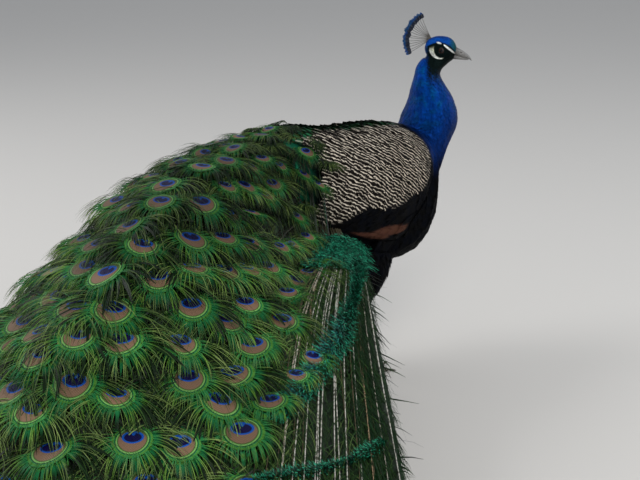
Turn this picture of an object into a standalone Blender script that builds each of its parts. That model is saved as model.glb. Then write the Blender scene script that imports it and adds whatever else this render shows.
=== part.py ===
"""Male peafowl (peacock) standing still with its train fanned and draped, at life size.

Every sub-part is one closed solid in metres, with Z up, the bird facing +X and its left side on +Y.
Neighbouring solids are kept apart by a hairline gap, so nothing overlaps.  The solids give the shape
out to the ends of the coat: the body, the folded wings, the neck and head, the crest, the legs and the
train, which is a dome of overlapping tiers that leaves the rump level and falls to the ground.
"""
import math

import bpy
import numpy as np

# ---- sizes that drive the bird (metres and degrees) -------------------------------------------
GAP = 0.0003                # clear space between neighbouring solids
BODY_POWER = 2.3            # squareness of the body sections (2 is an ellipse)
REAR_X = -0.285             # where the body ends and the train begins
PAD_DEPTH = 0.014           # thickness of the feather pads on the wings and back
RECESS = 0.0165             # how deep the trunk is let in under those pads
HEADING = math.radians(-48.0)   # the way the bill points, measured from +X
HEAD_TILT = math.radians(15.0)  # how far the bill points below the level
EYE_AT = (0.170, 0.130, 0.628)  # eye line: along the bill, across it, height
EYE_RADIUS = 0.0064
EYE_OFFSET = 0.0153         # eye centre from the middle of the head
CREST_COUNT = 11
CREST_SPAN = (99.0, 213.0)  # first and last crest feather, degrees round the crown
CREST_LENGTH = (0.059, 0.049, 0.0525)  # front, middle and rear crest feather
CREST_PLATE = 0.0012
HOCK = (-0.102, 0.062, 0.134)
ANKLE = (-0.068, 0.066, 0.024)
SHANK_RADIUS = 0.0072
TOE_RADIUS = 0.0058
FAN_CENTRE = -0.030         # X of the point the train feathers spread from
FAN_RANGE = (-47.0, 46.0)   # train reaches this far round, degrees (right side positive)
FAN_SECTORS = 7
TIER_ENDS = (0.0, 0.26, 0.52, 1.0)  # share of the way to the tips where the tiers end
TIER_STEP = 0.004           # each tier lies this much lower than the one above it
TRAIN_EASE = 0.080          # roundness of the bend where the train starts to fall
TRAIN_LIE = 0.014           # thickness of the train where it lies on the ground
TIP_BEND = 1.00             # distance past which the feathers droop further
TIP_FALL = 0.36
TAIL_SPREAD = 40.0
TAIL_LENGTH = 0.30

# Train shape round the fan: degrees (right side positive), height at the body, distance at which it
# starts to fall, steepness of the fall, distance of the tips.
TRAIN = (
    (-50.0, 0.310, 0.28, 0.72, 0.80),
    (-33.0, 0.342, 0.35, 0.80, 0.95),
    (-27.0, 0.350, 0.38, 0.85, 1.01),
    (-20.0, 0.430, 0.42, 0.90, 1.08),
    (-12.0, 0.515, 0.46, 0.86, 1.18),
    (0.0, 0.532, 0.52, 0.76, 1.31),
    (12.0, 0.515, 0.65, 0.72, 1.38),
    (20.0, 0.430, 0.70, 0.70, 1.40),
    (27.0, 0.345, 0.70, 0.60, 1.39),
    (33.0, 0.332, 0.60, 0.46, 1.37),
    (40.0, 0.318, 0.44, 0.34, 1.33),
    (50.0, 0.308, 0.20, 0.22, 1.26),
)
# Body sections: x, centre height, reach up, reach down, half width.
BODY = (
    (-0.285, 0.445, 0.085, 0.098, 0.088),
    (-0.255, 0.438, 0.093, 0.104, 0.098),
    (-0.220, 0.428, 0.103, 0.112, 0.108),
    (-0.170, 0.412, 0.113, 0.128, 0.118),
    (-0.120, 0.400, 0.114, 0.143, 0.124),
    (-0.060, 0.388, 0.119, 0.158, 0.128),
    (0.000, 0.378, 0.126, 0.168, 0.128),
    (0.060, 0.370, 0.129, 0.168, 0.124),
    (0.110, 0.368, 0.124, 0.163, 0.112),
    (0.150, 0.370, 0.106, 0.145, 0.090),
    (0.180, 0.376, 0.078, 0.112, 0.064),
    (0.198, 0.382, 0.045, 0.066, 0.036),
    (0.207, 0.386, 0.018, 0.026, 0.014),
)
# Lower edge of the wing pad: x, degrees below or above the horizontal.
WING_EDGE = ((-0.285, -48.0), (-0.220, -41.0), (-0.160, -35.0), (-0.100, -28.0), (-0.025, -27.0),
             (0.030, -19.0), (0.075, -6.0), (0.100, 4.0), (0.130, 20.0), (0.150, 34.0))
# Upper edge of the wing pad: x, degrees above the horizontal; it drops a little behind the shoulder.
WING_TOP = ((-0.285, 42.0), (-0.200, 54.0), (-0.120, 61.5), (0.150, 61.5))
# Neck sections: height, centre along and across the bill line, half width along and across it.
NECK = (
    (0.330, 0.095, 0.112, 0.065, 0.065),
    (0.360, 0.102, 0.122, 0.068, 0.068),
    (0.390, 0.112, 0.134, 0.070, 0.070),
    (0.420, 0.124, 0.147, 0.069, 0.071),
    (0.440, 0.134, 0.155, 0.068, 0.071),
    (0.465, 0.147, 0.162, 0.066, 0.070),
    (0.490, 0.151, 0.163, 0.062, 0.067),
    (0.506, 0.153, 0.160, 0.056, 0.062),
    (0.519, 0.1524, 0.155, 0.0515, 0.057),
    (0.532, 0.151, 0.150, 0.0465, 0.051),
    (0.5445, 0.148, 0.144, 0.042, 0.045),
    (0.557, 0.1455, 0.139, 0.0365, 0.039),
    (0.569, 0.1435, 0.134, 0.031, 0.033),
    (0.581, 0.1425, 0.131, 0.0278, 0.028),
    (0.592, 0.148, 0.130, 0.0297, 0.0245),
    (0.602, 0.1565, 0.130, 0.033, 0.022),
    (0.611, 0.160, 0.130, 0.029, 0.018),
)
NECK_SPLIT = 0.519
# Head sections: place along the bill line, top, bottom, half width, all from the eye.
HEAD = (
    (-0.0335, 0.0085, -0.0050, 0.0050),
    (-0.0310, 0.0145, -0.0120, 0.0105),
    (-0.0240, 0.0215, -0.0200, 0.0155),
    (-0.0150, 0.0262, -0.0255, 0.0185),
    (-0.0050, 0.0292, -0.0285, 0.0202),
    (0.0050, 0.0305, -0.0295, 0.0202),
    (0.0140, 0.0298, -0.0280, 0.0188),
    (0.0220, 0.0255, -0.0235, 0.0152),
    (0.0280, 0.0195, -0.0185, 0.0118),
    (0.0325, 0.0140, -0.0145, 0.0088),
)
BILL_UPPER = (
    (0.0328, 0.0125, -0.0030, 0.0074),
    (0.0390, 0.0112, -0.0034, 0.0064),
    (0.0460, 0.0090, -0.0040, 0.0054),
    (0.0530, 0.0064, -0.0044, 0.0043),
    (0.0600, 0.0030, -0.0046, 0.0031),
    (0.0655, -0.0010, -0.0052, 0.0019),
    (0.0685, -0.0046, -0.0066, 0.0009),
)
BILL_LOWER = (
    (0.0328, -0.0036, -0.0122, 0.0068),
    (0.0390, -0.0040, -0.0112, 0.0058),
    (0.0470, -0.0046, -0.0098, 0.0046),
    (0.0550, -0.0051, -0.0082, 0.0032),
    (0.0615, -0.0054, -0.0067, 0.0018),
)
# Toes: name, direction in degrees, length.
TOES = (("middle", -4.0, 0.060), ("inner", 38.0, 0.046), ("outer", -42.0, 0.049), ("hind", 172.0, 0.024))

FINISHES = {
    "blue": ((0.010, 0.045, 0.330), 0.35, 0.0),
    "dark": ((0.010, 0.014, 0.022), 0.60, 0.0),
    "barred": ((0.330, 0.260, 0.180), 0.75, 0.0),
    "scaly_green": ((0.060, 0.190, 0.070), 0.45, 0.0),
    "chestnut": ((0.300, 0.110, 0.040), 0.65, 0.0),
    "train_green": ((0.060, 0.170, 0.060), 0.55, 0.0),
    "bill": ((0.250, 0.220, 0.190), 0.45, 0.0),
    "eye": ((0.020, 0.010, 0.008), 0.08, 0.0),
    "horn": ((0.090, 0.075, 0.060), 0.45, 0.0),
    "leg": ((0.240, 0.210, 0.180), 0.60, 0.0),
    "tail_grey": ((0.150, 0.120, 0.090), 0.75, 0.0),
}


def clear_scene():
    """Remove whatever objects the new file holds."""
    for item in list(bpy.data.objects):
        bpy.data.objects.remove(item, do_unlink=True)


def finish(name):
    """Return the material of that name, made on first use."""
    found = bpy.data.materials.get(name)
    if found is not None:
        return found
    colour, rough, metal = FINISHES[name]
    made = bpy.data.materials.new(name)
    made.use_nodes = True
    shader = made.node_tree.nodes["Principled BSDF"]
    shader.inputs["Base Color"].default_value = (*colour, 1.0)
    shader.inputs["Roughness"].default_value = rough
    shader.inputs["Metallic"].default_value = metal
    return made


def add_solid(name, points, faces, material):
    """Make one named object from points given in the bird's frame, with its origin at its middle."""
    points = np.asarray(points, dtype=float)
    middle = (points.min(axis=0) + points.max(axis=0)) / 2.0
    mesh = bpy.data.meshes.new(name)
    mesh.from_pydata([tuple(p) for p in points - middle], [], faces)
    mesh.validate()
    mesh.update()
    mesh.materials.append(finish(material))
    item = bpy.data.objects.new(name, mesh)
    item.location = tuple(middle)
    bpy.context.scene.collection.objects.link(item)
    return item


def blend(table, x):
    """Read a table of rows (x, values...) at x, easing smoothly from row to row."""
    rows = np.asarray(table, dtype=float)
    keys = rows[:, 0]
    at = min(max(x, keys[0]), keys[-1])
    k = min(int(np.searchsorted(keys, at, side="right")) - 1, len(keys) - 2)
    t = (at - keys[k]) / (keys[k + 1] - keys[k])
    before = rows[max(k - 1, 0)]
    after = rows[min(k + 2, len(rows) - 1)]
    here, there = rows[k], rows[k + 1]
    span = there[0] - here[0]
    slope_a = (there - before) / max(there[0] - before[0], 1e-9) * span
    slope_b = (after - here) / max(after[0] - here[0], 1e-9) * span
    h = np.array([2 * t**3 - 3 * t**2 + 1, t**3 - 2 * t**2 + t, 3 * t**2 - 2 * t**3, t**3 - t**2])
    return (h[0] * here + h[1] * slope_a + h[2] * there + h[3] * slope_b)[1:]


def smooth(low, high, x):
    """Ease from 0 at low to 1 at high."""
    t = min(max((x - low) / (high - low), 0.0), 1.0)
    return t * t * (3.0 - 2.0 * t)


def power_ring(half_a, half_b, count, power):
    """Return count points (a, b) round a squared-off ellipse, starting on +a."""
    ring = []
    for k in range(count):
        turn = 2.0 * math.pi * k / count
        c, s = math.cos(turn), math.sin(turn)
        ring.append((half_a * math.copysign(abs(c) ** (2.0 / power), c),
                     half_b * math.copysign(abs(s) ** (2.0 / power), s)))
    return ring


def halves(quad, flip):
    """Split a four-cornered face into two triangles along one diagonal or the other."""
    a, b, c, d = quad
    if flip:
        return [(a, b, d), (b, c, d)]
    return [(a, b, c), (a, c, d)]


def loft(name, rings, material, mirror=None):
    """Join rings of equal count into one closed solid with flat ends; the diagonals flip from mirror on."""
    count = len(rings[0])
    mirror = count if mirror is None else mirror
    points = [p for ring in rings for p in ring]
    faces = [tuple(reversed(range(count)))]
    for r in range(len(rings) - 1):
        low, high = r * count, (r + 1) * count
        for k in range(count):
            n = (k + 1) % count
            faces += halves((low + k, low + n, high + n, high + k), k >= mirror)
    top = (len(rings) - 1) * count
    faces.append(tuple(top + k for k in range(count)))
    return outward(add_solid(name, points, faces, material))


def slab(name, upper, lower, material, mirror=None):
    """Close two matching grids of points (rows x columns) into a solid; diagonals flip from mirror on."""
    rows, cols = len(upper), len(upper[0])
    mirror = cols if mirror is None else mirror
    points = [p for line in upper for p in line] + [p for line in lower for p in line]
    base = rows * cols
    faces = []
    for r in range(rows - 1):
        for c in range(cols - 1):
            a, b, d, e = r * cols + c, r * cols + c + 1, (r + 1) * cols + c + 1, (r + 1) * cols + c
            for face in halves((a, b, d, e), c >= mirror):
                faces.append(face)
                faces.append(tuple(base + v for v in reversed(face)))
    edge = [c for c in range(cols)]
    edge += [r * cols + cols - 1 for r in range(1, rows)]
    edge += [(rows - 1) * cols + c for c in range(cols - 2, -1, -1)]
    edge += [r * cols for r in range(rows - 2, 0, -1)]
    for k, here in enumerate(edge):
        there = edge[(k + 1) % len(edge)]
        faces.append((there, here, base + here, base + there))
    return outward(add_solid(name, points, faces, material))


def outward(item):
    """Turn every face outward, judged by the signed volume."""
    mesh = item.data
    total = 0.0
    for face in mesh.polygons:
        corners = [mesh.vertices[v].co for v in face.vertices]
        for k in range(1, len(corners) - 1):
            total += corners[0].dot(corners[k].cross(corners[k + 1]))
    if total < 0.0:
        mesh.flip_normals()
    return item


def boolean(item, tool, operation):
    """Cut or join tool into item with the exact solver, then remove tool."""
    step = item.modifiers.new(operation.lower(), "BOOLEAN")
    step.operation = operation
    step.solver = "EXACT"
    step.object = tool
    bpy.context.view_layer.update()
    graph = bpy.context.evaluated_depsgraph_get()
    result = bpy.data.meshes.new_from_object(item.evaluated_get(graph))
    item.modifiers.clear()
    item.data = result
    bpy.data.objects.remove(tool, do_unlink=True)
    return item


# ---- body -------------------------------------------------------------------------------------
def body_point(x, degrees, depth, side=1.0):
    """Point on the body envelope at x, so many degrees above the horizontal, let in by depth."""
    centre, up, down, half = blend(BODY, x)
    turn = math.radians(degrees)
    c, s = math.cos(turn), math.sin(turn)
    reach = up if s >= 0.0 else down
    across = max(half - depth, 0.002) * abs(c) ** (2.0 / BODY_POWER)
    rise = max(reach - depth, 0.002) * math.copysign(abs(s) ** (2.0 / BODY_POWER), s)
    return (x, side * across, centre + rise)


def wing_edge(x):
    """Lower edge of the wing pad at x, in degrees above the horizontal."""
    return float(blend(WING_EDGE, x)[0])


def wing_top(x):
    """Upper edge of the wing pad at x, in degrees above the horizontal."""
    return float(blend(WING_TOP, x)[0])


def wing_angles(x):
    """Degrees of the six lines that run along the wing pad, from its lower to its upper edge."""
    low, high = wing_edge(x), wing_top(x)
    return [low + (high - low) * k / 5.0 for k in range(6)]


def mantle_angles(x):
    """Degrees of the lines that run along the back, from one wing over the top to the other."""
    high = wing_top(x)
    rise = [high + (90.0 - high) * k / 3.0 for k in range(1, 4)]
    return [high + 0.7] + rise[:2] + [90.0] + [180.0 - a for a in rise[1::-1]] + [179.3 - high]


def trunk_angles(x):
    """Degrees at which a trunk section is drawn, on one side, from below to above."""
    edge = wing_edge(x)
    under = [-90.0 + (edge - 28.0 + 90.0) * k / 4.0 for k in range(5)]
    return under + [edge - 16.0] + wing_angles(x) + mantle_angles(x)[1:4]


def body_ring(x, depth_below, depth_above):
    """One closed section of the body, with its own depth below and above the wing's lower edge."""
    angles = trunk_angles(x)
    depths = [depth_below] * 5 + [depth_above] * (len(angles) - 5)
    left = [body_point(x, a, d, 1.0) for a, d in zip(angles, depths)]
    right = [body_point(x, a, d, -1.0) for a, d in zip(angles[1:-1], depths[1:-1])]
    return left + right[::-1]


def body_stations():
    """X places of the body sections."""
    back = [REAR_X + 0.0385 * k for k in range(12)]
    return back + [0.162, 0.180, 0.192, 0.201, 0.207]


def make_envelope(grow):
    """Closed copy of the whole body envelope, grown by a little: the tool that trims neighbours."""
    rings = [body_ring(x, -grow, -grow) for x in body_stations()]
    return loft("envelope", rings, "dark", len(trunk_angles(0.0)) - 1)


def make_trunk():
    """Trunk, let in under the wings and the back so their pads lie flush."""
    rings = []
    for x in body_stations():
        recess = RECESS * (1.0 - smooth(0.135, 0.165, x))
        rings.append(body_ring(x, 0.0, recess))
    return loft("trunk", rings, "dark", len(trunk_angles(0.0)) - 1)


def full_body_point(x, degrees, depth, side=1.0):
    """Body point for angles past the top, which come down on the other side."""
    if degrees <= 90.0:
        return body_point(x, degrees, depth, side)
    return body_point(x, 180.0 - degrees, depth, -side)


def make_pad(name, columns, side, material, mirror=None):
    """Feather pad on the body: columns is a list of (x, angles in degrees)."""
    upper, lower = [], []
    for n, (x, angles) in enumerate(columns):
        ends = min(1.0, 0.35 + 0.5 * n, 0.35 + 0.5 * (len(columns) - 1 - n))
        top_line, low_line = [], []
        for k, angle in enumerate(angles):
            edge = min(1.0, 0.45 + 2.2 * k / (len(angles) - 1), 1.0 if mirror is None else 0.8)
            deep = PAD_DEPTH * (0.55 + 0.45 * ends * edge)
            lift = (PAD_DEPTH - deep) * 0.6
            top_line.append(full_body_point(x, angle, lift, side))
            low_line.append(full_body_point(x, angle, PAD_DEPTH, side))
        upper.append(top_line)
        lower.append(low_line)
    return slab(name, upper, lower, material, mirror)


def make_wing(tag, side):
    """Barred pad of the folded wing and shoulder feathers on one side."""
    columns = [(x, wing_angles(x)) for x in body_stations() if x < 0.140]
    return make_pad("wing_" + tag, columns, side, "barred")


def make_flight_feathers(tag, side):
    """Chestnut flight feathers showing as a strip below the wing pad."""
    columns = []
    for x in body_stations():
        if x < 0.050:
            edge = wing_edge(x)
            columns.append((x, [edge - 13.0, edge - 7.0, edge - 0.6]))
    return make_pad("flight_feathers_" + tag, columns, side, "chestnut")


def make_mantle():
    """Scaly green pad along the middle of the back."""
    columns = [(x, mantle_angles(x)) for x in body_stations() if x < 0.150]
    return make_pad("mantle", columns, 1.0, "scaly_green", 3)


# ---- neck and head ----------------------------------------------------------------------------
def heading_axes():
    """Unit vectors along the bill line on the level, and across it."""
    along = (math.cos(HEADING), math.sin(HEADING), 0.0)
    across = (-math.sin(HEADING), math.cos(HEADING), 0.0)
    return along, across


def neck_ring(height):
    """One level section of the neck."""
    at, off, half_along, half_across = blend(NECK, height)
    along, across = heading_axes()
    ring = []
    for a, b in power_ring(half_along, half_across, 16, 2.0):
        ring.append(tuple((at + a) * along[i] + (off + b) * across[i] for i in range(2)) + (height,))
    return ring


def make_neck_part(name, low, high, steps, material):
    """Closed length of neck between two heights."""
    rings = [neck_ring(low + (high - low) * k / steps) for k in range(steps + 1)]
    return loft(name, rings, material)


def head_point(u, v, w):
    """Point given along the bill, up and across from the middle of the eye line."""
    along, across = heading_axes()
    c, s = math.cos(HEAD_TILT), math.sin(HEAD_TILT)
    run = EYE_AT[0] + u * c + v * s
    rise = EYE_AT[2] - u * s + v * c
    off = EYE_AT[1] + w
    return (run * along[0] + off * across[0], run * along[1] + off * across[1], rise)


def head_loft(name, table, count, power, grow, material):
    """Solid of head sections (place, top, bottom, half width), grown by grow."""
    rings = []
    for u, top, bottom, half in table:
        middle, reach = (top + bottom) / 2.0, (top - bottom) / 2.0
        ring = [head_point(u, middle + b, a) for a, b in power_ring(half + grow, reach + grow, count, power)]
        rings.append(ring)
    return loft(name, rings, material)


def make_ball(name, centre, radius, material, around=12, levels=8):
    """Closed ball of rings."""
    points = [(centre[0], centre[1], centre[2] - radius)]
    for level in range(1, levels):
        lift = -math.cos(math.pi * level / levels) * radius
        flat = math.sin(math.pi * level / levels) * radius
        for k in range(around):
            turn = 2.0 * math.pi * k / around
            points.append((centre[0] + flat * math.cos(turn), centre[1] + flat * math.sin(turn), centre[2] + lift))
    points.append((centre[0], centre[1], centre[2] + radius))
    last = len(points) - 1
    faces = []
    for k in range(around):
        n = (k + 1) % around
        faces.append((0, 1 + n, 1 + k))
        for level in range(levels - 2):
            a = 1 + level * around
            b = a + around
            faces.append((a + k, a + n, b + n, b + k))
        top = 1 + (levels - 2) * around
        faces.append((top + k, top + n, last))
    return outward(add_solid(name, points, faces, material))


def make_head():
    """Head with a socket for each eye, the two eyes and the two halves of the bill."""
    head = head_loft("head", HEAD, 18, 2.1, 0.0, "blue")
    for tag, side in (("left", 1.0), ("right", -1.0)):
        centre = head_point(0.0, 0.0, side * EYE_OFFSET)
        boolean(head, make_ball("socket", centre, EYE_RADIUS + GAP, "dark"), "DIFFERENCE")
        make_ball("eye_" + tag, centre, EYE_RADIUS, "eye")
    head_loft("bill_upper", BILL_UPPER, 12, 2.2, 0.0, "bill")
    head_loft("bill_lower", BILL_LOWER, 10, 2.2, 0.0, "bill")


def make_neck():
    """Upper and lower neck, trimmed where they meet the head and the body."""
    upper = make_neck_part("neck_upper", NECK_SPLIT + GAP, 0.611, 8, "blue")
    boolean(upper, head_loft("cutter", HEAD, 18, 2.1, 0.0004, "dark"), "DIFFERENCE")
    lower = make_neck_part("neck_lower", 0.330, NECK_SPLIT, 12, "blue")
    boolean(lower, make_envelope(0.0004), "DIFFERENCE")


def crest_length(share):
    """Length of the crest feather that stands share of the way from front to rear."""
    front, middle, rear = CREST_LENGTH
    if share < 0.6:
        return front + (middle - front) * smooth(0.0, 0.6, share)
    return middle + (rear - middle) * smooth(0.6, 1.0, share)


def make_crest():
    """Fan of bare crest shafts with spoon tips, cut as one thin plate."""
    pairs_of = []
    for k in range(CREST_COUNT):
        share = k / (CREST_COUNT - 1)
        turn = math.radians(CREST_SPAN[0] + (CREST_SPAN[1] - CREST_SPAN[0]) * share)
        full = crest_length(share)
        ray = (math.cos(turn), math.sin(turn))
        side = (-ray[1], ray[0])
        widths = ((0.0050, 0.00042), (full - 0.0135, 0.00050), (full - 0.0090, 0.0030),
                  (full - 0.0040, 0.0042), (full, 0.0009))
        line = []
        for reach, half in widths:
            line.append([(ray[0] * reach + side[0] * half * way, ray[1] * reach + side[1] * half * way)
                         for way in (-1.0, 1.0)])
        pairs_of.append(line)
    flat, faces = [], []
    for line in pairs_of:
        base = len(flat)
        flat += [p for pair in line for p in pair]
        for r in range(len(line) - 1):
            a = base + 2 * r
            faces.append((a, a + 2, a + 3, a + 1))
        faces.append((base + 2 * len(line) - 2, base + 2 * len(line) - 1))
    faces = [f for f in faces if len(f) == 4]
    stride = 2 * len(pairs_of[0])
    root = []
    for k in range(CREST_COUNT):
        root += [k * stride, k * stride + 1]
    root.append(len(flat))
    flat.append((0.0012, -0.0010))
    faces.append(tuple(root))
    half = CREST_PLATE / 2.0
    front = [crest_point(p, half) for p in flat]
    back = [crest_point(p, -half) for p in flat]
    count = len(flat)
    solid = list(faces) + [tuple(count + v for v in reversed(f)) for f in faces]
    used = {}
    for face in faces:
        for k, a in enumerate(face):
            b = face[(k + 1) % len(face)]
            used[(a, b)] = used.get((a, b), 0) + 1
    for a, b in [edge for edge in used if (edge[1], edge[0]) not in used]:
        solid.append((b, a, count + a, count + b))
    return outward(add_solid("crest", front + back, solid, "dark"))


def crest_point(flat, off):
    """Place a crest point given on the head's middle plane, from the crest root."""
    along, across = heading_axes()
    run = EYE_AT[0] - 0.0300 + flat[0]
    rise = EYE_AT[2] + 0.0205 + flat[1]
    side = EYE_AT[1] + off
    return (run * along[0] + side * across[0], run * along[1] + side * across[1], rise)


# ---- legs -------------------------------------------------------------------------------------
def tube_ring(centre, axis, radius, count):
    """Ring of points round an axis."""
    ahead = np.array(axis, dtype=float)
    ahead = ahead / np.linalg.norm(ahead)
    side = np.cross(ahead, (0.0, 1.0, 0.0))
    side = side / np.linalg.norm(side)
    other = np.cross(ahead, side)
    ring = []
    for k in range(count):
        turn = 2.0 * math.pi * k / count
        ring.append(tuple(np.asarray(centre) + radius * (math.cos(turn) * side + math.sin(turn) * other)))
    return ring


def make_thigh(tag, side):
    """Feathered thigh, trimmed where it meets the body."""
    table = ((-0.050, 0.052, 0.285, 0.050, 0.040), (-0.048, 0.056, 0.240, 0.062, 0.050),
             (-0.059, 0.059, 0.205, 0.056, 0.046), (-0.076, 0.061, 0.175, 0.043, 0.037),
             (-0.093, 0.062, 0.150, 0.029, 0.027), (-0.101, 0.062, 0.1345, 0.018, 0.017))
    rings = []
    for x, y, z, half_x, half_y in table:
        rings.append([(x + a, side * y + b, z) for a, b in power_ring(half_x, half_y, 12, 2.0)])
    thigh = loft("thigh_" + tag, rings, "dark")
    return boolean(thigh, make_envelope(0.0004), "DIFFERENCE")


def make_shank(tag, side):
    """Bare scaly shank with its spur."""
    top = np.array((HOCK[0], side * HOCK[1], HOCK[2]))
    foot = np.array((ANKLE[0], side * ANKLE[1], ANKLE[2]))
    axis = foot - top
    stops = ((0.0, 1.45), (0.08, 1.40), (0.20, 1.0), (0.50, 0.92), (0.80, 0.95), (0.96, 1.12), (1.0, 1.12))
    rings = []
    for share, grow in stops:
        ring = tube_ring(top + axis * share, axis, SHANK_RADIUS * grow, 10)
        if share in (0.0, 1.0):
            level = top[2] if share == 0.0 else foot[2]
            ring = [(p[0], p[1], level) for p in ring]
        rings.append(ring)
    loft("shank_" + tag, rings, "leg")
    base = top + axis * 0.60 + np.array((-SHANK_RADIUS * 1.02 - 0.0012, 0.0, -0.0010))
    tip = base + np.array((-0.017, 0.0, 0.004))
    spur = [tube_ring(base, tip - base, 0.0036, 8), tube_ring((base + tip) / 2, tip - base, 0.0026, 8),
            tube_ring(tip, tip - base, 0.0007, 8)]
    loft("spur_" + tag, spur, "horn")


def toe_ring(centre, turn, radius):
    """Toe section across the toe's direction, with a flat sole on the ground."""
    side = (-math.sin(turn), math.cos(turn))
    ring = []
    for k in range(8):
        a = 2.0 * math.pi * k / 8 + math.pi / 8
        wide, tall = radius * math.cos(a), 0.86 * radius + radius * math.sin(a)
        ring.append((centre[0] + side[0] * wide, centre[1] + side[1] * wide, max(tall, 0.0)))
    return ring


def make_foot(tag, side):
    """Foot of four toes joined under the shank, and the four claws."""
    root = np.array((ANKLE[0] + 0.004, side * (ANKLE[1] + 0.001)))
    ankle = np.array((ANKLE[0], side * ANKLE[1]))
    rings = []
    for z, grow, share in ((0.0, 1.00, 1.0), (0.008, 1.35, 0.8), (0.016, 1.15, 0.4), (ANKLE[2] - GAP, 1.06, 0.0)):
        centre = ankle + (root - ankle) * share
        rings.append([(centre[0] + a, centre[1] + b, z) for a, b in
                      power_ring(SHANK_RADIUS * grow, SHANK_RADIUS * grow, 10, 2.0)])
    foot = loft("foot_" + tag, rings, "leg")
    for name, degrees, length in TOES:
        turn = math.radians(degrees) * side
        way = np.array((math.cos(turn), math.sin(turn)))
        stops = ((0.0005, 1.0), (0.34, 0.90), (0.62, 0.94), (0.90, 0.84), (1.0, 0.62))
        toe = loft("toe", [toe_ring(root + way * length * s, turn, TOE_RADIUS * g) for s, g in stops], "leg")
        boolean(foot, toe, "UNION")
        start = root + way * (length + GAP)
        shape = ((0.0, 0.0030, 0.0034), (0.005, 0.0034, 0.0028), (0.010, 0.0028, 0.0018), (0.0145, 0.0012, 0.0007))
        claw = []
        for reach, lift, radius in shape:
            centre = start + way * reach
            across = (-way[1], way[0])
            ring = []
            for k in range(8):
                a = 2.0 * math.pi * k / 8
                ring.append((centre[0] + across[0] * radius * math.cos(a) * 0.8,
                             centre[1] + across[1] * radius * math.cos(a) * 0.8,
                             max(lift + radius * math.sin(a), 0.0003)))
            claw.append(ring)
        loft("claw_" + name + "_" + tag, claw, "horn")
    return foot


# ---- train and tail ---------------------------------------------------------------------------
def soft_ramp(x, ease):
    """Zero for low x, rising as x for high x, with a rounded corner."""
    return ease * math.log1p(math.exp(min(x / ease, 40.0)))


def train_height(reach, degrees):
    """Height of the top of the train at a distance from the fan centre."""
    root, bend, fall, _ = blend(TRAIN, degrees)
    drop = fall * soft_ramp(reach - bend, TRAIN_EASE) + TIP_FALL * soft_ramp(reach - TIP_BEND, 0.05)
    return TRAIN_LIE + soft_ramp(root - drop - TRAIN_LIE, 0.016)


def train_end(degrees):
    """Distance of the train tips from the fan centre."""
    return float(blend(TRAIN, degrees)[3])


def train_start(degrees):
    """Distance at which the train leaves the body."""
    turn = math.radians(degrees)
    across = (abs(math.cos(turn)) / 0.2595) ** 8 + (abs(math.sin(turn)) / 0.131) ** 8
    return across ** -0.125


def fan_point(reach, degrees, height):
    """Point of the train: positive degrees swing to the bird's right."""
    turn = math.radians(degrees)
    return (FAN_CENTRE - reach * math.cos(turn), -reach * math.sin(turn), height)


def train_depth(reach, degrees):
    """Vertical thickness of the train, greater near the body."""
    return 0.044 - 0.030 * smooth(0.22, 0.65, reach)


def make_train():
    """Dome of train feathers: sectors round the fan, in three tiers down its length."""
    width = (FAN_RANGE[1] - FAN_RANGE[0]) / FAN_SECTORS
    for tier in range(3):
        rows = 4 if tier < 2 else 8
        for sector in range(FAN_SECTORS):
            low = FAN_RANGE[0] + width * sector
            upper, lower = [], []
            for r in range(rows + 1):
                share = TIER_ENDS[tier] + (TIER_ENDS[tier + 1] - TIER_ENDS[tier]) * r / rows
                top_line, low_line = [], []
                for c in range(5):
                    angle = low + width * c / 4.0
                    start, end = train_start(angle), train_end(angle)
                    scallop = 1.0 + 0.022 * math.sin(math.pi * c / 4.0) * smooth(0.8, 1.0, share)
                    reach = start + (end - start) * share * scallop
                    inset = GAP * 0.75
                    reach += inset if r == 0 else (-inset if r == rows else 0.0)
                    nudge = math.degrees(inset / reach)
                    angle += nudge if c == 0 else (-nudge if c == 4 else 0.0)
                    height = max(train_height(reach, angle) - TIER_STEP * tier, 0.006)
                    depth = train_depth(reach, angle)
                    top_line.append(fan_point(reach, angle, height))
                    low_line.append(fan_point(reach, angle, max(height - depth, 0.0)))
                upper.append(top_line)
                lower.append(low_line)
            slab("train_%s_%d" % (("upper", "middle", "lower")[tier], sector + 1), upper, lower, "train_green")


def make_tail():
    """Fan of stiff tail feathers that carries the train from below."""
    upper, lower = [], []
    rows, cols = 5, 13
    for r in range(rows + 1):
        top_line, low_line = [], []
        for c in range(cols):
            angle = -TAIL_SPREAD + 2.0 * TAIL_SPREAD * c / (cols - 1)
            start = train_start(angle) + GAP
            tip = 1.0 - (0.035 if c % 2 else 0.0) * smooth(0.8, 1.0, r / rows)
            reach = start + (TAIL_LENGTH * tip) * r / rows
            height = train_height(reach, angle) - train_depth(reach, angle) - 0.016
            top_line.append(fan_point(reach, angle, height))
            low_line.append(fan_point(reach, angle, height - 0.010 + 0.005 * r / rows))
        upper.append(top_line)
        lower.append(low_line)
    slab("tail", upper, lower, "tail_grey")


def centre_on_ground():
    """Shift the whole bird so the middle of its footprint box is the origin, with the lowest point at 0."""
    bpy.context.view_layer.update()
    corners = []
    for item in bpy.data.objects:
        shift = np.array(item.location)
        corners += [np.array(v.co) + shift for v in item.data.vertices]
    low, high = np.min(corners, axis=0), np.max(corners, axis=0)
    middle = ((low[0] + high[0]) / 2.0, (low[1] + high[1]) / 2.0, low[2])
    for item in bpy.data.objects:
        item.location = tuple(item.location[i] - middle[i] for i in range(3))


def main():
    """Build the bird from the body outward."""
    clear_scene()
    make_trunk()
    make_mantle()
    for tag, side in (("left", 1.0), ("right", -1.0)):
        make_wing(tag, side)
        make_flight_feathers(tag, side)
        make_thigh(tag, side)
        make_shank(tag, side)
        make_foot(tag, side)
    make_head()
    make_neck()
    make_crest()
    make_tail()
    make_train()
    centre_on_ground()


main()
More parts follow.
